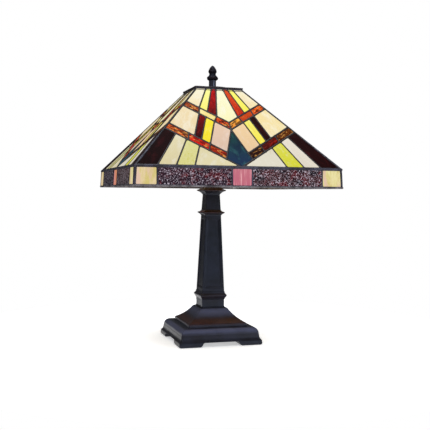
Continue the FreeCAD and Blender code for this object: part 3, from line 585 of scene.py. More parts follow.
def panel_lines():
    """The lead lines of the right half of a panel."""
    top = SLOPE_LENGTH
    lines = {
        "top": Line((-1, top), (1, top), EDGE),
        "foot": Line((-1, 0), (1, 0), EDGE),
        "hip": Line((SHOULDER_HALF, 0), (GLASS_TOP_HALF, top), HIP),
        "centre": Line((0, 0), (0, 1), RAY),
    }
    for name, levels, rise in (("upper", UPPER_BAND, UPPER_RISE), ("lower", LOWER_BAND, LOWER_RISE)):
        for edge, level in zip(("under", "over"), levels):
            lines[name + "_" + edge] = Line((0, level), on_band(level, rise, 1), BAND)
    under, over = UPPER_BAND
    for name, x_top, x_band in (("outer", 20.3, 39.3), ("middle", 11.9, 28.5), ("inner", 5.0, 16.2)):
        lines["top_" + name] = Line((x_top, top), on_band(over, UPPER_RISE, x_band), RAY)
    for name, x_over, x_under in (("outer", 39.3, 41.8), ("inner", 16.2, 21.8)):
        start, end = on_band(over, UPPER_RISE, x_over), on_band(under, UPPER_RISE, x_under)
        lines["band_" + name] = Line(start, end, RAY)
    for name, x in (("dark", 41.8), ("yellow", 33.0), ("peach", 21.8), ("kite", 0.0)):
        start = on_band(under, UPPER_RISE, x)
        lines["ray_" + name] = Line(start, (start[0] + RAY_LEAN, start[1] - 1), RAY)
    under, over = LOWER_BAND
    lines["band_split"] = Line(on_band(over, LOWER_RISE, 64.5), on_band(under, LOWER_RISE, 67.4), RAY)
    for name, x_band, x_foot in (("maroon", 83.6, 119.4), ("beige", 69.8, 93.4), ("lime", 53.2, 67.4)):
        lines["foot_" + name] = Line(on_band(under, LOWER_RISE, x_band), (x_foot, 0), RAY)
    return lines


# Each pane: the lines round it and which of them its streaks run along, then for the left half
# and the right half its glass, its colour at the top and at the bottom and how streaked it is.
# The change in colour from the top of each pane to its bottom is partly the glass's own colour, partly a
# painted falloff of the bulb's glow.
HALF_PANES = (
    ("top hip upper_over top_outer", 3,
     ("cream", (255, 246, 210), (248, 230, 186), 0.5), ("cream", (253, 243, 204), (250, 228, 172), 0.5)),
    ("top top_outer upper_over top_middle", 3,
     ("yellow", (252, 248, 156), (248, 238, 110), 0.3), ("yellow", (250, 246, 116), (246, 234, 84), 0.3)),
    ("top top_middle upper_over top_inner", 3,
     ("red", (222, 16, 10), (92, 4, 8), 0.6), ("orange", (240, 84, 30), (200, 22, 10), 0.7)),
    ("upper_over hip upper_under band_outer", 0,
     ("amber", (178, 80, 38), (138, 50, 22), 0.85), ("amber", (252, 104, 26), (222, 80, 16), 0.85)),
    ("upper_over band_outer upper_under band_inner", 0,
     ("yellow", (250, 232, 158), (238, 212, 118), 1.0), ("orange", (222, 84, 20), (204, 58, 10), 0.6)),
    ("upper_over band_inner upper_under centre", 0,
     ("amber", (226, 78, 26), (190, 48, 16), 0.9), ("amber", (255, 180, 66), (250, 140, 42), 0.8)),
    ("upper_under hip lower_over ray_dark", 3,
     ("cream", (246, 226, 182), (240, 216, 168), 0.5), ("cream", (251, 228, 160), (250, 232, 180), 0.5)),
    ("upper_under ray_dark lower_over ray_yellow", 1,
     ("red", (140, 2, 8), (38, 2, 5), 0.6), ("maroon", (58, 18, 12), (40, 8, 6), 0.4)),
    ("upper_under ray_yellow lower_over ray_peach", 3,
     ("yellow", (248, 232, 60), (244, 220, 40), 0.3), ("yellow", (244, 238, 116), (246, 228, 70), 0.4)),
    ("upper_under ray_peach lower_over ray_kite", 1,
     ("peach", (244, 210, 180), (228, 198, 176), 0.5), ("peach", (252, 218, 168), (240, 206, 160), 0.6)),
    ("lower_over hip lower_under band_split", 0,
     ("amber", (220, 98, 34), (188, 64, 20), 0.75), ("amber", (110, 54, 14), (76, 32, 8), 0.5)),
    ("lower_over band_split lower_under ray_peach", 0,
     ("amber", (232, 38, 18), (190, 20, 12), 0.65), ("red", (106, 16, 3), (70, 8, 3), 0.6)),
    ("lower_over ray_peach lower_under ray_kite", 0,
     ("amber", (178, 48, 12), (140, 24, 4), 0.6), ("amber", (54, 16, 4), (30, 8, 2), 0.42)),
    ("lower_under hip foot foot_maroon", 3,
     ("maroon", (40, 12, 10), (30, 6, 6), 0.4), ("maroon", (52, 20, 20), (42, 12, 14), 0.5)),
    ("lower_under foot_maroon foot foot_beige", 1,
     ("beige", (236, 226, 184), (224, 211, 164), 0.5), ("beige", (240, 230, 214), (232, 223, 204), 0.5)),
    ("lower_under foot_beige foot foot_lime", 1,
     ("lime", (232, 228, 158), (226, 219, 142), 0.7), ("lime", (232, 230, 84), (224, 222, 58), 0.5)),
    ("lower_under foot_lime foot", 1,
     ("beige", (230, 219, 174), (234, 222, 178), 0.5), ("beige", (232, 225, 204), (234, 227, 206), 0.5)),
)
TOP_PANE = ("cream", (255, 253, 216), (255, 248, 190), 0.5)
KITE_PANE = ("teal", (28, 78, 64), (34, 54, 98), 0.7)
SKIRT_PANES = (
    ("tile_cream", (248, 224, 182), (240, 216, 168), 0.8), ("ripple", (78, 50, 66), (62, 42, 58), 0.8),
    ("tile_pink", (212, 126, 140), (206, 114, 132), 1.0), ("ripple", (104, 62, 66), (82, 50, 56), 1.0),
    ("tile_cream", (250, 240, 180), (246, 232, 168), 0.9))


def panel_panes():
    """(lines, flow direction, look) for every pane of one panel."""
    right = panel_lines()
    left = {name: line.mirrored() for name, line in right.items()}
    panes = []
    for names, flow, left_look, right_look in HALF_PANES:
        for lines, look in ((left, left_look), (right, right_look)):
            pane = [lines[name] for name in names.split()]
            panes.append((pane, pane[flow].direction(), look))
    panes.append(([right["top"], right["top_inner"], right["upper_over"], left["upper_over"],
                   left["top_inner"]], Vector((0, 1)), TOP_PANE))
    panes.append(([right["ray_kite"], right["lower_under"], right["foot"], left["lower_under"],
                   left["ray_kite"]], Vector((0, 1)), KITE_PANE))
    return panes


def skirt_lines():
    """The lead lines of one side of the skirt: top, foot and the uprights from left to right."""
    corner = 3.3
    middle_tile, end_tile = 14.6, SHOULDER_HALF - 31.0
    top = Line((-1, SKIRT_HEIGHT), (1, SKIRT_HEIGHT), 2.2)
    foot = Line((-1, -0.5), (1, -0.5), 0.8)
    uprights = [Line((-SKIRT_FOOT_HALF, 0), (-SHOULDER_HALF, SKIRT_HEIGHT), corner)]
    places = (-end_tile, -middle_tile, middle_tile, end_tile)
    uprights += [Line((x, 0), (x, SKIRT_HEIGHT), RAY) for x in places]
    uprights.append(Line((SKIRT_FOOT_HALF, 0), (SHOULDER_HALF, SKIRT_HEIGHT), corner))
    return top, foot, uprights


def skirt_panes():
    top, foot, uprights = skirt_lines()
    return [([top, uprights[k + 1], foot, uprights[k]], Vector((0, 1)), look)
            for k, look in enumerate(SKIRT_PANES)]


def stand_up(half_foot, half_head, z_foot, z_head, side):
    """The matrix that puts a flat panel on one side of the shade. Flat +Z becomes outwards."""
    run, rise = half_foot - half_head, z_head - z_foot
    length = math.hypot(run, rise)
    cos_up, sin_in = rise / length, run / length
    flat = Matrix(((1, 0, 0, 0), (0, sin_in, -cos_up, -half_foot),
                   (0, cos_up, sin_in, z_foot), (0, 0, 0, 1)))
    return Matrix.Rotation(side * math.pi / 2, 4, "Z") @ flat


def panel_place(side):
    return stand_up(SHOULDER_HALF, GLASS_TOP_HALF, SHOULDER_Z, PLATE_Z, side)


def skirt_place(side):
    return stand_up(SKIRT_FOOT_HALF, SHOULDER_HALF, RIM_Z + RIM_BAND_HEIGHT, SHOULDER_Z, side)


def came(bm, start, end, half, rng):
    """A lead strip between two flat points: rounded front and back, slightly uneven in width."""
    start, end = Vector(start), Vector(end)
    length = (end - start).length
    if length < 0.5:
        return
    direction = (end - start) / length
    side = Vector((direction.y, -direction.x))
    count = max(2, int(length / 3.0))
    seed = rng.random() * 100
    rings = []
    for k in range(count + 1):
        middle = start + direction * (length * (k / count))
        width = half * (1.0 + 0.14 * noise.noise(Vector((middle.x * 0.12, middle.y * 0.12, seed))))
        high = LEAD_FRONT + 0.12 * noise.noise(Vector((middle.x * 0.1, middle.y * 0.1, seed + 9)))
        ring = []
        for shape, edge, peak in ((CAME, GLASS_FRONT - 0.2, high),
                                  (CAME[::-1], GLASS_BACK + 0.2, LEAD_BACK)):
            for across, up in shape:
                place = middle + side * (across * width)
                ring.append(Vector((place.x, place.y, edge + up * (peak - edge))))
        rings.append(ring)
    loft(bm, rings)


def ball(bm, centre, radii, subdivisions=3):
    made = bmesh.ops.create_icosphere(bm, subdivisions=subdivisions, radius=1.0)
    for vertex in made["verts"]:
        vertex.co = Vector(centre) + vertex.co * Vector(radii)


def blob(bm, place, radius):
    """A drop of solder where lines meet, reaching through to the back."""
    middle = GLASS_FRONT - 0.3
    made = bmesh.ops.create_icosphere(bm, subdivisions=2, radius=1.0)
    for vertex in made["verts"]:
        co = vertex.co
        reach = LEAD_FRONT + 0.2 - middle if co.z > 0 else middle - LEAD_BACK
        vertex.co = Vector((place[0] + co.x * radius, place[1] + co.y * radius, middle + co.z * reach))


def remeshed(bm, voxel):
    """The bmesh, drawn in mm, as one blended skin."""
    bmesh.ops.recalc_face_normals(bm, faces=bm.faces)
    mesh = bpy.data.meshes.new("rough")
    bm.to_mesh(mesh)
    bm.free()
    rough = in_scene("rough", mesh)
    skin = rough.modifiers.new("skin", "REMESH")
    skin.mode = "VOXEL"
    skin.voxel_size = voxel
    ease = rough.modifiers.new("ease", "SMOOTH")
    ease.factor = 0.5
    ease.iterations = 2
    graph = bpy.context.evaluated_depsgraph_get()
    result = bpy.data.meshes.new_from_object(rough.evaluated_get(graph))
    bpy.data.objects.remove(rough)
    bpy.data.meshes.remove(mesh)
    normals = [vertex.normal.copy() for vertex in result.vertices]
    for vertex, normal in zip(result.vertices, normals):
        bumps = noise.noise(vertex.co * 0.35) * 0.07 + noise.noise(vertex.co * 0.9) * 0.03
        vertex.co += normal * bumps
    return result


VOXEL = 0.75


def lead_spans(panes):
    """Each line with the stretch of it that the panes use, and the places where lines meet."""
    spans = {}
    joints = set()
    for lines, _, _ in panes:
        corners = corners_of(lines)
        joints |= {(round(corner.x, 1), round(corner.y, 1)) for corner in corners}
        for line, first, second in zip(lines, corners, corners[1:] + corners[:1]):
            key = tuple(round(v, 3) for v in (*line.start, *line.end))
            ends = [line.along(first), line.along(second), *spans.get(key, (line,))[1:]]
            spans[key] = (line, min(ends), max(ends))
    return spans.values(), joints


def panel_lattice():
    """The lead of one sloping panel, flat."""
    rng = random.Random(3)
    spans, joints = lead_spans(panel_panes())
    bm = bmesh.new()
    for line, low, high in spans:
        if line.half not in (EDGE, HIP):
            start, end = (line.start + line.direction() * reach for reach in (low, high))
            came(bm, start, end, line.half, rng)
    head = SLOPE_LENGTH * (FRAME_Z - SHOULDER_Z) / SLOPE_RISE - 0.8
    hip_slope = SLOPE_RUN / SLOPE_LENGTH
    ends = [(SHOULDER_HALF - hip_slope * s - 1.5 * math.hypot(1, hip_slope), s) for s in (1.6, head)]
    came(bm, *ends, 0.9, rng)
    came(bm, *[(-x, s) for x, s in ends], 0.9, rng)
    came(bm, (-SHOULDER_HALF + 4.0, 2.1), (SHOULDER_HALF - 4.0, 2.1), 1.1, rng)
    came(bm, (-GLASS_TOP_HALF, head - 0.4), (GLASS_TOP_HALF, head - 0.4), 0.7, rng)
    for x, s in sorted(joints):
        if 1.0 <= s <= head and abs(x) <= SHOULDER_HALF - hip_slope * s - 2.0:
            blob(bm, (x, s), 2.2 + 0.35 * rng.random())
    return remeshed(bm, VOXEL)


def skirt_lattice():
    """The lead of one side of the skirt, flat."""
    rng = random.Random(5)
    bm = bmesh.new()
    _, foot, uprights = skirt_lines()
    head = SKIRT_HEIGHT - 1.7
    low = foot.start.y
    for line in uprights[1:-1]:
        came(bm, (line.start.x, low), (line.start.x, head), line.half, rng)
        blob(bm, (line.start.x, head), 1.7)
        blob(bm, (line.start.x, low + 0.2), 1.6)
    for sign in (-1, 1):
        came(bm, (sign * (SKIRT_FOOT_HALF - 2.8), low), (sign * (SHOULDER_HALF - 2.8), head), 0.7, rng)
    for half, z, thick in ((SHOULDER_HALF - 3.4, head, 0.9), (SKIRT_FOOT_HALF - 3.4, low, 0.8)):
        came(bm, (-half, z), (half, z), thick, rng)
    return remeshed(bm, VOXEL * 0.85)


def make_lattices():
    for kind, flat, place, material in (("panel", panel_lattice(), panel_place, LEAD),
                                        ("skirt", skirt_lattice(), skirt_place, EDGE_METAL)):
        for side, name in enumerate(SIDES):
            mesh = flat.copy()
            mesh.transform(Matrix.Scale(MM, 4) @ place(side))
            piece = finish_object("%s_leading_%s" % (kind, name), mesh, material)
            attach(piece, "shade", "%s_lead_%s" % (kind, name))
        bpy.data.meshes.remove(flat)


def bead(bm, start, end, across, deep, seed, normal, flat=1.0, taper=1.0):
    """A drawn bead of solder from start to end, uneven in section and narrowing by taper."""
    start, end = Vector(start), Vector(end)
    length = (end - start).length
    direction = (end - start) / length
    up = (Vector(normal) - direction * Vector(normal).dot(direction)).normalized()
    side = direction.cross(up)
    count = int(length / 2.5)
    rings = []
    for k in range(count + 1):
        middle = start + direction * (length * k / count)
        narrow = 1 + (taper - 1) * k / count
        wide = across * narrow * (1 + 0.10 * noise.noise(middle * 0.07 + Vector((seed, 0, 0))))
        high = deep * (1 + 0.12 * noise.noise(middle * 0.11 + Vector((0, seed, 0))))
        ring = []
        for n in range(16):
            angle = 2 * math.pi * n / 16
            x, y = (math.copysign(abs(v) ** flat, v) for v in (math.cos(angle), math.sin(angle)))
            ring.append(middle + side * (x * wide) + up * (y * high))
        rings.append(ring)
    loft(bm, rings)


def edge_piece(name, bm, node, material):
    attach(mesh_object(name, bm, material), "shade", node)


def frame_beads(bm, half, z, across, deep, seed, lean, flat=1.0):
    """Four beads round a square, leaning up by lean."""
    for k in range(4):
        (x1, y1), (x2, y2) = CORNERS[k], CORNERS[(k + 1) % 4]
        bead(bm, (x1 * half, y1 * half, z), (x2 * half, y2 * half, z), across, deep,
             seed + k * 5.0, ((x1 + x2) / 2, (y1 + y2) / 2, lean), flat)


def make_edges():
    bm = bmesh.new()
    for k, (x, y) in enumerate(CORNERS):
        foot, head = SHOULDER_HALF - 0.8, GLASS_TOP_HALF + 0.6
        bead(bm, (x * foot, y * foot, SHOULDER_Z - 0.5), (x * head, y * head, FRAME_Z + 0.3), 2.2, 1.5,
             k * 7.0, (x, y, 1.2), taper=0.6)
    edge_piece("hip_beads", bm, "hip_leads", HIP_METAL)

    bm = bmesh.new()
    frame_beads(bm, SHOULDER_HALF - 1.0, SHOULDER_Z - 0.4, 1.9, 1.9, 30, 0.6)
    for x, y in CORNERS:
        half = SHOULDER_HALF - 1.2
        ball(bm, (x * half, y * half, SHOULDER_Z - 0.6), (2.3, 2.3, 2.1))
    edge_piece("shoulder_beads", bm, "shoulder_lead", EDGE_METAL)

    bm = bmesh.new()
    low = RIM_Z + RIM_BAND_HEIGHT - 0.4
    for k, (x, y) in enumerate(CORNERS):
        foot, head = SKIRT_FOOT_HALF - 1.8, SHOULDER_HALF - 1.7
        bead(bm, (x * foot, y * foot, low), (x * head, y * head, SHOULDER_Z), 2.4, 1.9,
             60 + k * 3.0, (x, y, 0.0))
    edge_piece("corner_beads", bm, "corner_leads", HIP_METAL)

    bm = bmesh.new()
    middle = RIM_HALF - 2.7
    frame_beads(bm, middle, RIM_Z + 1.4, 1.3, 2.5, 80, 0.0, flat=0.6)
    for x, y in CORNERS:
        ball(bm, (x * (middle + 0.2), y * (middle + 0.2), RIM_Z + 1.6), (2.5, 2.5, 1.55))
    edge_piece("rim_beads", bm, "rim_band", RIM_METAL)


# ---- glass ----

def glass_material(name, glow, light, dark, along, across, light_band, dark_band, distortion,
                   roughness=0.16, pebble_strength=0.12, detail=4.0):
    """Art glass lit through, painted as a glow that stands in for the bulb's light: its tint, wisps of light
    and dark colour drawn out along the flow.
    """
    shader = Shader("glass_" + name, Roughness=roughness, Specular_IOR_Level=0.01, Emission_Strength=glow)
    flow = shader.attribute("flow", "Vector")
    stretched = shader.vector("MULTIPLY", flow, (1.0 / along, 1.0 / across, 1.0))
    streaks = shader.noise(stretched, 1.0, detail, 0.6, distortion)
    shifted = shader.vector("ADD", stretched, (31.0, 17.0, 5.0))
    clouds = shader.noise(shifted, 0.8, detail, 0.6, distortion)
    amount = shader.attribute("mottle", "Fac")
    colour = shader.attribute("tint_and_glow_falloff")
    colour = shader.mix(shader.times(shader.span(streaks, *light_band), amount), colour, rgb(*light))
    colour = shader.mix(shader.times(shader.span(clouds, *dark_band), amount), colour, rgb(*dark))
    if name == "ripple":
        crest = shader.attribute("crest", "Fac")
        # painted shade in the troughs of the hammered relief, and painted highlights on its crests
        colour = shader.mix(shader.span(crest, 0.0, 0.45, 0.72, 0.0), colour, rgb(20, 14, 22))
        painted_crest_highlight = shader.span(crest, 0.55, 0.92, 0.0, 0.95)
        painted_crest_highlight = shader.times(painted_crest_highlight, shader.span(amount, 0.0, 1.0, 0.35, 1.0))
        colour = shader.mix(painted_crest_highlight, colour, rgb(220, 208, 222))
    # painted glow: the pane shows its colour by emission, standing in for the bulb's light shining through,
    # and is nearly black under lamps
    shader.to("Base Color", shader.mix(0.72, colour, rgb(8, 6, 6)))
    shader.to("Emission Color", colour)
    shader.bump(shader.noise(flow, 0.4, 3.0, 0.5), pebble_strength, 0.0006)
    return shader.material


# Each glass: its glow, light and dark colour, size of the streaks along and across the flow,
# the stretch of noise that turns light and the one that turns dark, and how far they twist.
GLASSES = {
    "cream": (0.66, (255, 252, 236), (244, 214, 170), 22.0, 9.0, (0.45, 0.72), (0.55, 0.8), 0.6),
    "peach": (0.62, (250, 232, 222), (226, 176, 152), 22.0, 9.0, (0.48, 0.75), (0.55, 0.8), 0.6),
    "beige": (0.63, (244, 240, 226), (214, 196, 156), 22.0, 9.0, (0.46, 0.74), (0.55, 0.82), 0.6),
    "yellow": (0.72, (255, 250, 190), (226, 150, 50), 14.0, 2.2, (0.5, 0.72), (0.6, 0.72), 0.4),
    "lime": (0.6, (240, 234, 180), (214, 208, 92), 5.0, 3.0, (0.5, 0.7), (0.5, 0.7), 0.5),
    "red": (0.5, (236, 52, 34), (52, 4, 12), 12.0, 3.2, (0.54, 0.74), (0.46, 0.7), 0.8),
    "orange": (0.55, (255, 120, 44), (140, 10, 8), 9.0, 2.6, (0.5, 0.7), (0.52, 0.72), 0.8),
    "maroon": (0.3, (92, 26, 30), (26, 6, 10), 20.0, 8.0, (0.5, 0.75), (0.45, 0.7), 0.5),
    "teal": (0.42, (70, 136, 132), (20, 34, 66), 26.0, 14.0, (0.5, 0.72), (0.5, 0.75), 0.6),
    "amber": (0.72, (255, 184, 92), (26, 8, 6), 9.0, 3.0, (0.55, 0.62), (0.49, 0.56), 0.8),
    "ripple": (0.5, (130, 40, 48), (34, 26, 38), 11.0, 11.0, (0.48, 0.64), (0.5, 0.64), 0.6),
    "tile_cream": (0.62, (222, 206, 118), (242, 204, 186), 30.0, 9.0, (0.42, 0.62), (0.48, 0.66), 0.0),
    "tile_pink": (0.6, (246, 178, 184), (206, 104, 142), 34.0, 2.6, (0.48, 0.66), (0.5, 0.66), 0.0),
}
GLASS_EXTRAS = {"lime": {"pebble_strength": 0.25}, "maroon": {"roughness": 0.3},
                "amber": {"detail": 1.5}, "ripple": {"roughness": 0.22}}


def ripple_height(x, y, seed):
    """Hammered relief: worm-like crests, 0 to 1."""
    place = Vector((x * 0.5, y * 0.5, seed))
    bend = Vector((noise.noise(place * 1.3), noise.noise(place * 1.3 + Vector((7, 3, 1))), 0.0))
    return 1.0 - min(1.0, abs(noise.noise(place + bend * 0.5)) * 3.0)


def pane_mesh(lines, cell):
    """The pane's front, cut from a grid by its edge lines, tucked under the leads."""
    corners = corners_of(lines)
    low = Vector((min(c.x for c in corners), min(c.y for c in corners)))
    high = Vector((max(c.x for c in corners), max(c.y for c in corners)))
    middle = sum(corners, Vector((0, 0))) / len(corners)
    size = high - low
    columns = max(1, int(size.x / cell))
    rows = max(1, int(size.y / cell))
    bm = bmesh.new()
    grid = []
    for j in range(rows + 1):
        y = low.y + size.y * j / rows
        across = [low.x + size.x * i / columns for i in range(columns + 1)]
        grid.append([bm.verts.new((x, y, GLASS_FRONT)) for x in across])
    for under, over in zip(grid, grid[1:]):
        for i in range(columns):
            bm.faces.new((under[i], under[i + 1], over[i + 1], over[i]))
    for line in lines:
        direction = line.direction()
        inward = Vector((-direction.y, direction.x))
        if inward.dot(middle - line.start) < 0:
            inward = -inward
        point = line.start + inward * (line.half - TUCK)
        geometry = bm.verts[:] + bm.edges[:] + bm.faces[:]
        bmesh.ops.bisect_plane(bm, geom=geometry, dist=1e-4, plane_co=(point.x, point.y, 0),
                               plane_no=(-inward.x, -inward.y, 0), clear_outer=True)
    return bm, low, high


def edge_distance(lines, point):
    """How far the point is from the nearest lead."""
    return min(abs(line.direction().cross(point - line.start)) - line.half for line in lines)


def add_pane(store, lines, flow, look, place, seed):
    """Builds one pane and adds it, with its tints, to the mesh of its glass."""
    glass, high_colour, low_colour, mottle = look
    ripple = glass == "ripple"
    cell = (0.5) if ripple else 3.0
    bm, low, high = pane_mesh(lines, cell)
    across = Vector((-flow.y, flow.x))
    top, bottom = Vector(rgb(*high_colour)), Vector(rgb(*low_colour))
    # what the glass looks like at each place; front and back share it
    looks = {}
    for vertex in bm.verts:
        point = vertex.co.xy
        x, y = point
        edge = clamped(edge_distance(lines, point) / 1.6)
        crest = 0.0
        if ripple:
            crest = ripple_height(x, y, seed)
            vertex.co.z += (0.75 * crest - 0.55) * edge
        else:
            wave = noise.noise(Vector((x * 0.09, y * 0.09, seed)))
            vertex.co.z += 0.10 * wave * edge - 0.12 * (1 - edge)
        # the pane's own colour with a painted falloff of the glow from top to bottom
        tint_and_glow_falloff = bottom.lerp(top, (y - low.y) / (high.y - low.y))
        streak = (point.dot(flow), point.dot(across), seed * 3.7)
        looks[round(x, 4), round(y, 4)] = (tint_and_glow_falloff, streak, mottle, crest)
    made = bmesh.ops.extrude_face_region(bm, geom=bm.faces[:])
    for item in made["geom"]:
        if isinstance(item, bmesh.types.BMVert):
            item.co.z = GLASS_BACK + 0.4 * (item.co.z - GLASS_FRONT)
    bm.verts.index_update()
    bmesh.ops.recalc_face_normals(bm, faces=bm.faces)
    verts, faces, values = store.setdefault(glass, ([], [], []))
    start = len(verts)
    values += [looks[round(vertex.co.x, 4), round(vertex.co.y, 4)] for vertex in bm.verts]
    bm.transform(Matrix.Scale(MM, 4) @ place)
    verts += [tuple(vertex.co) for vertex in bm.verts]
    faces += [[vertex.index + start for vertex in face.verts] for face in bm.faces]
    bm.free()


def tinted(look, side, rng):
    """The same glass a little different from pane to pane and side to side."""
    glass, *tones, mottle = look
    if side == 0:
        return look
    if glass == "tile_pink":
        shift = (24, 32, -50) if side in (1, 3) else (2, 4, 0)
    elif glass == "ripple" and side in (1, 3):
        shift = (-34, -12, -18)
        mottle = 0.1
    else:
        step = rng.uniform(-5, 3)
        shift = (step, step + rng.uniform(-3, 2), step + rng.uniform(-6, 4))
    high, low = (tuple(min(255, max(6, c + s)) for c, s in zip(tone, shift)) for tone in tones)
    return glass, high, low, mottle


def make_glass():
    rng = random.Random(11)
    store = {}
    for side in range(4):
        for panes, place in ((panel_panes(), panel_place), (skirt_panes(), skirt_place)):
            for lines, flow, look in panes:
                add_pane(store, lines, flow, tinted(look, side, rng), place(side), rng.uniform(1, 60))
    materials = {name: glass_material(name, *numbers, **GLASS_EXTRAS.get(name, {}))
                 for name, numbers in GLASSES.items()}
    for glass, (verts, faces, values) in store.items():
        mesh = bpy.data.meshes.new("panes_" + glass)
        mesh.from_pydata(verts, [], faces)
        mesh.update()
        tint_and_glow_falloff = mesh.attributes.new("tint_and_glow_falloff", "FLOAT_COLOR", "POINT")
        tint_and_glow_falloff.data.foreach_set("color", [c for value in values for c in value[0]])
        flow = mesh.attributes.new("flow", "FLOAT_VECTOR", "POINT")
        flow.data.foreach_set("vector", [c for value in values for c in value[1]])
        set_float(mesh, "mottle", [value[2] for value in values])
        set_float(mesh, "crest", [value[3] for value in values])
        piece = finish_object("panes_" + glass, mesh, materials[glass], sharp=40)
        attach(piece, "shade", "glass_" + glass)


# ---- fittings that keep their CAD shape ----

EVEN, BRUSHED = (1, 1, 1), (1, 1, 0.08)

# Each material: its CAD nodes, two tones, grain, scale, metallic, roughness and other sockets.
FITTINGS = (
    ("frame_lead", "top_frame", (40, 34, 38), (74, 70, 82), EVEN, 0.1, 0.6, 0.4, {}),
    ("felt", "foot_pads", (18, 18, 18), (38, 37, 36), EVEN, 1.4, 0.0, 0.9, {"Sheen_Weight": 0.3}),
    ("bushing", "cord_bushing", (16, 16, 16), (26, 26, 27), EVEN, 0.6, 0.0, 0.5, {}),
    ("iron", "base_ballast", (70, 66, 62), (104, 96, 88), EVEN, 0.3, 0.7, 0.6, {}),
    ("cover", "bottom_cover", (26, 26, 27), (40, 40, 42), EVEN, 0.08, 0.3, 0.5, {}),
    ("zinc", "cover_screws lamp_rod pipe_nuts rod_foot_washer socket_bracket socket_nipple",
     (150, 150, 146), (196, 196, 190), BRUSHED, 0.5, 1.0, 0.36, {}),
    ("brass", "shade_seat_washer socket_cap socket_shell centre_contact",
     (176, 138, 70), (208, 172, 98), BRUSHED, 0.4, 1.0, 0.3, {}),
    ("sleeve", "socket_sleeve", (120, 98, 72), (150, 126, 96), (1, 1, 0.3), 0.6, 0.0, 0.8, {}),
    ("phenolic", "socket_core switch_knob", (18, 16, 15), (30, 27, 25), EVEN, 0.5, 0.0, 0.34, {}),
    ("aluminium", "screw_shell bulb_base", (196, 196, 196), (222, 222, 222), (1, 1, 0.2), 0.7, 1.0, 0.3, {}),
    ("frosted_bulb", "bulb_glass", (250, 244, 230), (255, 250, 240), EVEN, 0.05, 0.0, 0.35,
     {"Emission_Color": rgb(255, 222, 170), "Emission_Strength": 0.7}),
    ("filament", "bulb_filament", (120, 118, 112), (160, 156, 150), EVEN, 1.0, 1.0, 0.4, {}),
)


def fitting_material(name, low, high, grain, scale, metallic, roughness, **sockets):
    """A plain material with patches and fine grain, drawn out by the grain factors."""
    shader = Shader(name, Metallic=metallic, Roughness=roughness, **sockets)
    place = shader.millimetres(grain)
    patches = shader.noise(place, scale, 4.0, 0.6)
    fine = shader.noise(place, scale * 6, 3.0, 0.6)
    shader.to("Base Color", shader.mix(shader.span(patches, 0.3, 0.7), rgb(*low), rgb(*high)))
    shader.to("Roughness", shader.span(fine, 0.3, 0.7, roughness - 0.08, roughness + 0.1))
    shader.bump(fine, 0.12, 0.0002)
    return shader.material


def dress_fittings():
    looks = {"column_cap": BRONZE}
    for name, nodes, *numbers, more in FITTINGS:
        material = fitting_material(name, *numbers, **more)
        looks.update(dict.fromkeys(nodes.split(), material))
    for name, material in looks.items():
        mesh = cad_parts[name].data
        if not mesh.materials:
            mesh.materials.append(material)
        for slot in range(len(mesh.materials)):
            mesh.materials[slot] = material


# ---- the room ----

def make_floor():
    bm = bmesh.new()
    radii = (1.0, 60.0, 150.0, 300.0, 450.0)
    loft(bm, [turned_ring(radius, 0.0, 96) for radius in radii], capped=(True, False))
    shader = Shader("floor", Roughness=0.8, Specular_IOR_Level=0.2, Emission_Strength=1.0)
    place = shader.millimetres()
    patches = shader.span(shader.noise(place, 0.02, 3.0), 0.3, 0.7)
    shader.to("Base Color", shader.mix(patches, rgb(244, 244, 244), rgb(248, 248, 248)))
    # a soft shadow under the foot, fading to white
    away = shader.span(shader.vector("LENGTH", place, output="Value"), 50.0, 190.0)
    shader.to("Emission Color", shader.mix(away, rgb(185, 185, 185), rgb(255, 255, 255)))
    mesh_object("floor", bm, shader.material)


def area(name, place, target, size, power, colour):
    light = bpy.data.lights.new(name, "AREA")
    light.shape = "DISK"
    light.size = size
    light.energy = power
    light.color = colour
    lamp = in_scene(name, light)
    lamp.location = place
    lamp.rotation_euler = (Vector(target) - Vector(place)).to_track_quat("-Z", "Y").to_euler()


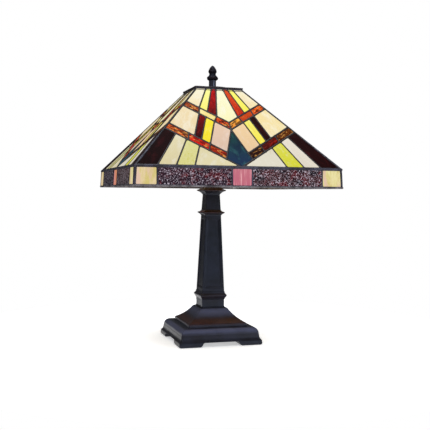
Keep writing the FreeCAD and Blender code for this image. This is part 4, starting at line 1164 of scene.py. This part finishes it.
def make_light():
    middle = (0.0, 0.0, 0.22)
    area("key", (-0.7, -1.3, 1.5), middle, 1.0, 14.0, (1.0, 0.98, 0.95))
    area("fill", (1.0, -1.5, 0.45), middle, 0.7, 6.0, (0.82, 0.9, 1.0))
    area("top", (0.0, -0.15, 1.7), middle, 1.2, 14.0, (0.84, 0.9, 1.0))
    world = bpy.data.worlds.new("studio")
    bpy.context.scene.world = world
    world.use_nodes = True
    nodes, link = world.node_tree.nodes, world.node_tree.links.new
    nodes.clear()
    kinds = ("OutputWorld", "MixShader", "Background", "Background", "TexCoord", "SeparateXYZ", "MapRange",
             "LightPath")
    output, choose, soft, white, where, parts, strength, path = (nodes.new("ShaderNode" + k) for k in kinds)
    # the light is weaker behind the lamp; the camera sees plain white
    soft.inputs[0].default_value = (0.92, 0.95, 1.0, 1.0)
    white.inputs[0].default_value = (1.0, 1.0, 1.0, 1.0)
    for socket, number in zip(strength.inputs[1:5], (-0.6, 0.8, 0.32, 0.1)):
        socket.default_value = number
    link(where.outputs["Generated"], parts.inputs[0])
    link(parts.outputs["Y"], strength.inputs[0])
    link(strength.outputs[0], soft.inputs[1])
    sources = (path.outputs["Is Camera Ray"], soft.outputs[0], white.outputs[0])
    for source, socket in zip(sources, choose.inputs):
        link(source, socket)
    link(choose.outputs[0], output.inputs[0])
    view = bpy.context.scene.view_settings
    view.view_transform = "Standard"
    view.look = "None"


def make_camera():
    data = bpy.data.cameras.new("camera")
    data.lens = 63.4
    data.sensor_width = 36.0
    data.clip_start, data.clip_end = 0.05, 50.0
    azimuth, pitch, roll = (math.radians(degrees) for degrees in (-16.73, 1.58, 0.63))
    aside, distance, height = 0.00625, 1.18183, 0.22718
    place = Matrix.Rotation(azimuth, 4, "Z") @ Matrix.Translation((aside, -distance, height))
    camera = in_scene("camera", data)
    tilt = Matrix.Rotation(math.pi / 2 - pitch, 4, "X") @ Matrix.Rotation(roll, 4, "Z")
    camera.matrix_world = place @ tilt
    bpy.context.scene.camera = camera


make_camera()
make_light()
make_floor()
make_base()
make_feet()
make_column()
make_cap()
make_finial()
make_lattices()
make_edges()
make_glass()
dress_fittings()
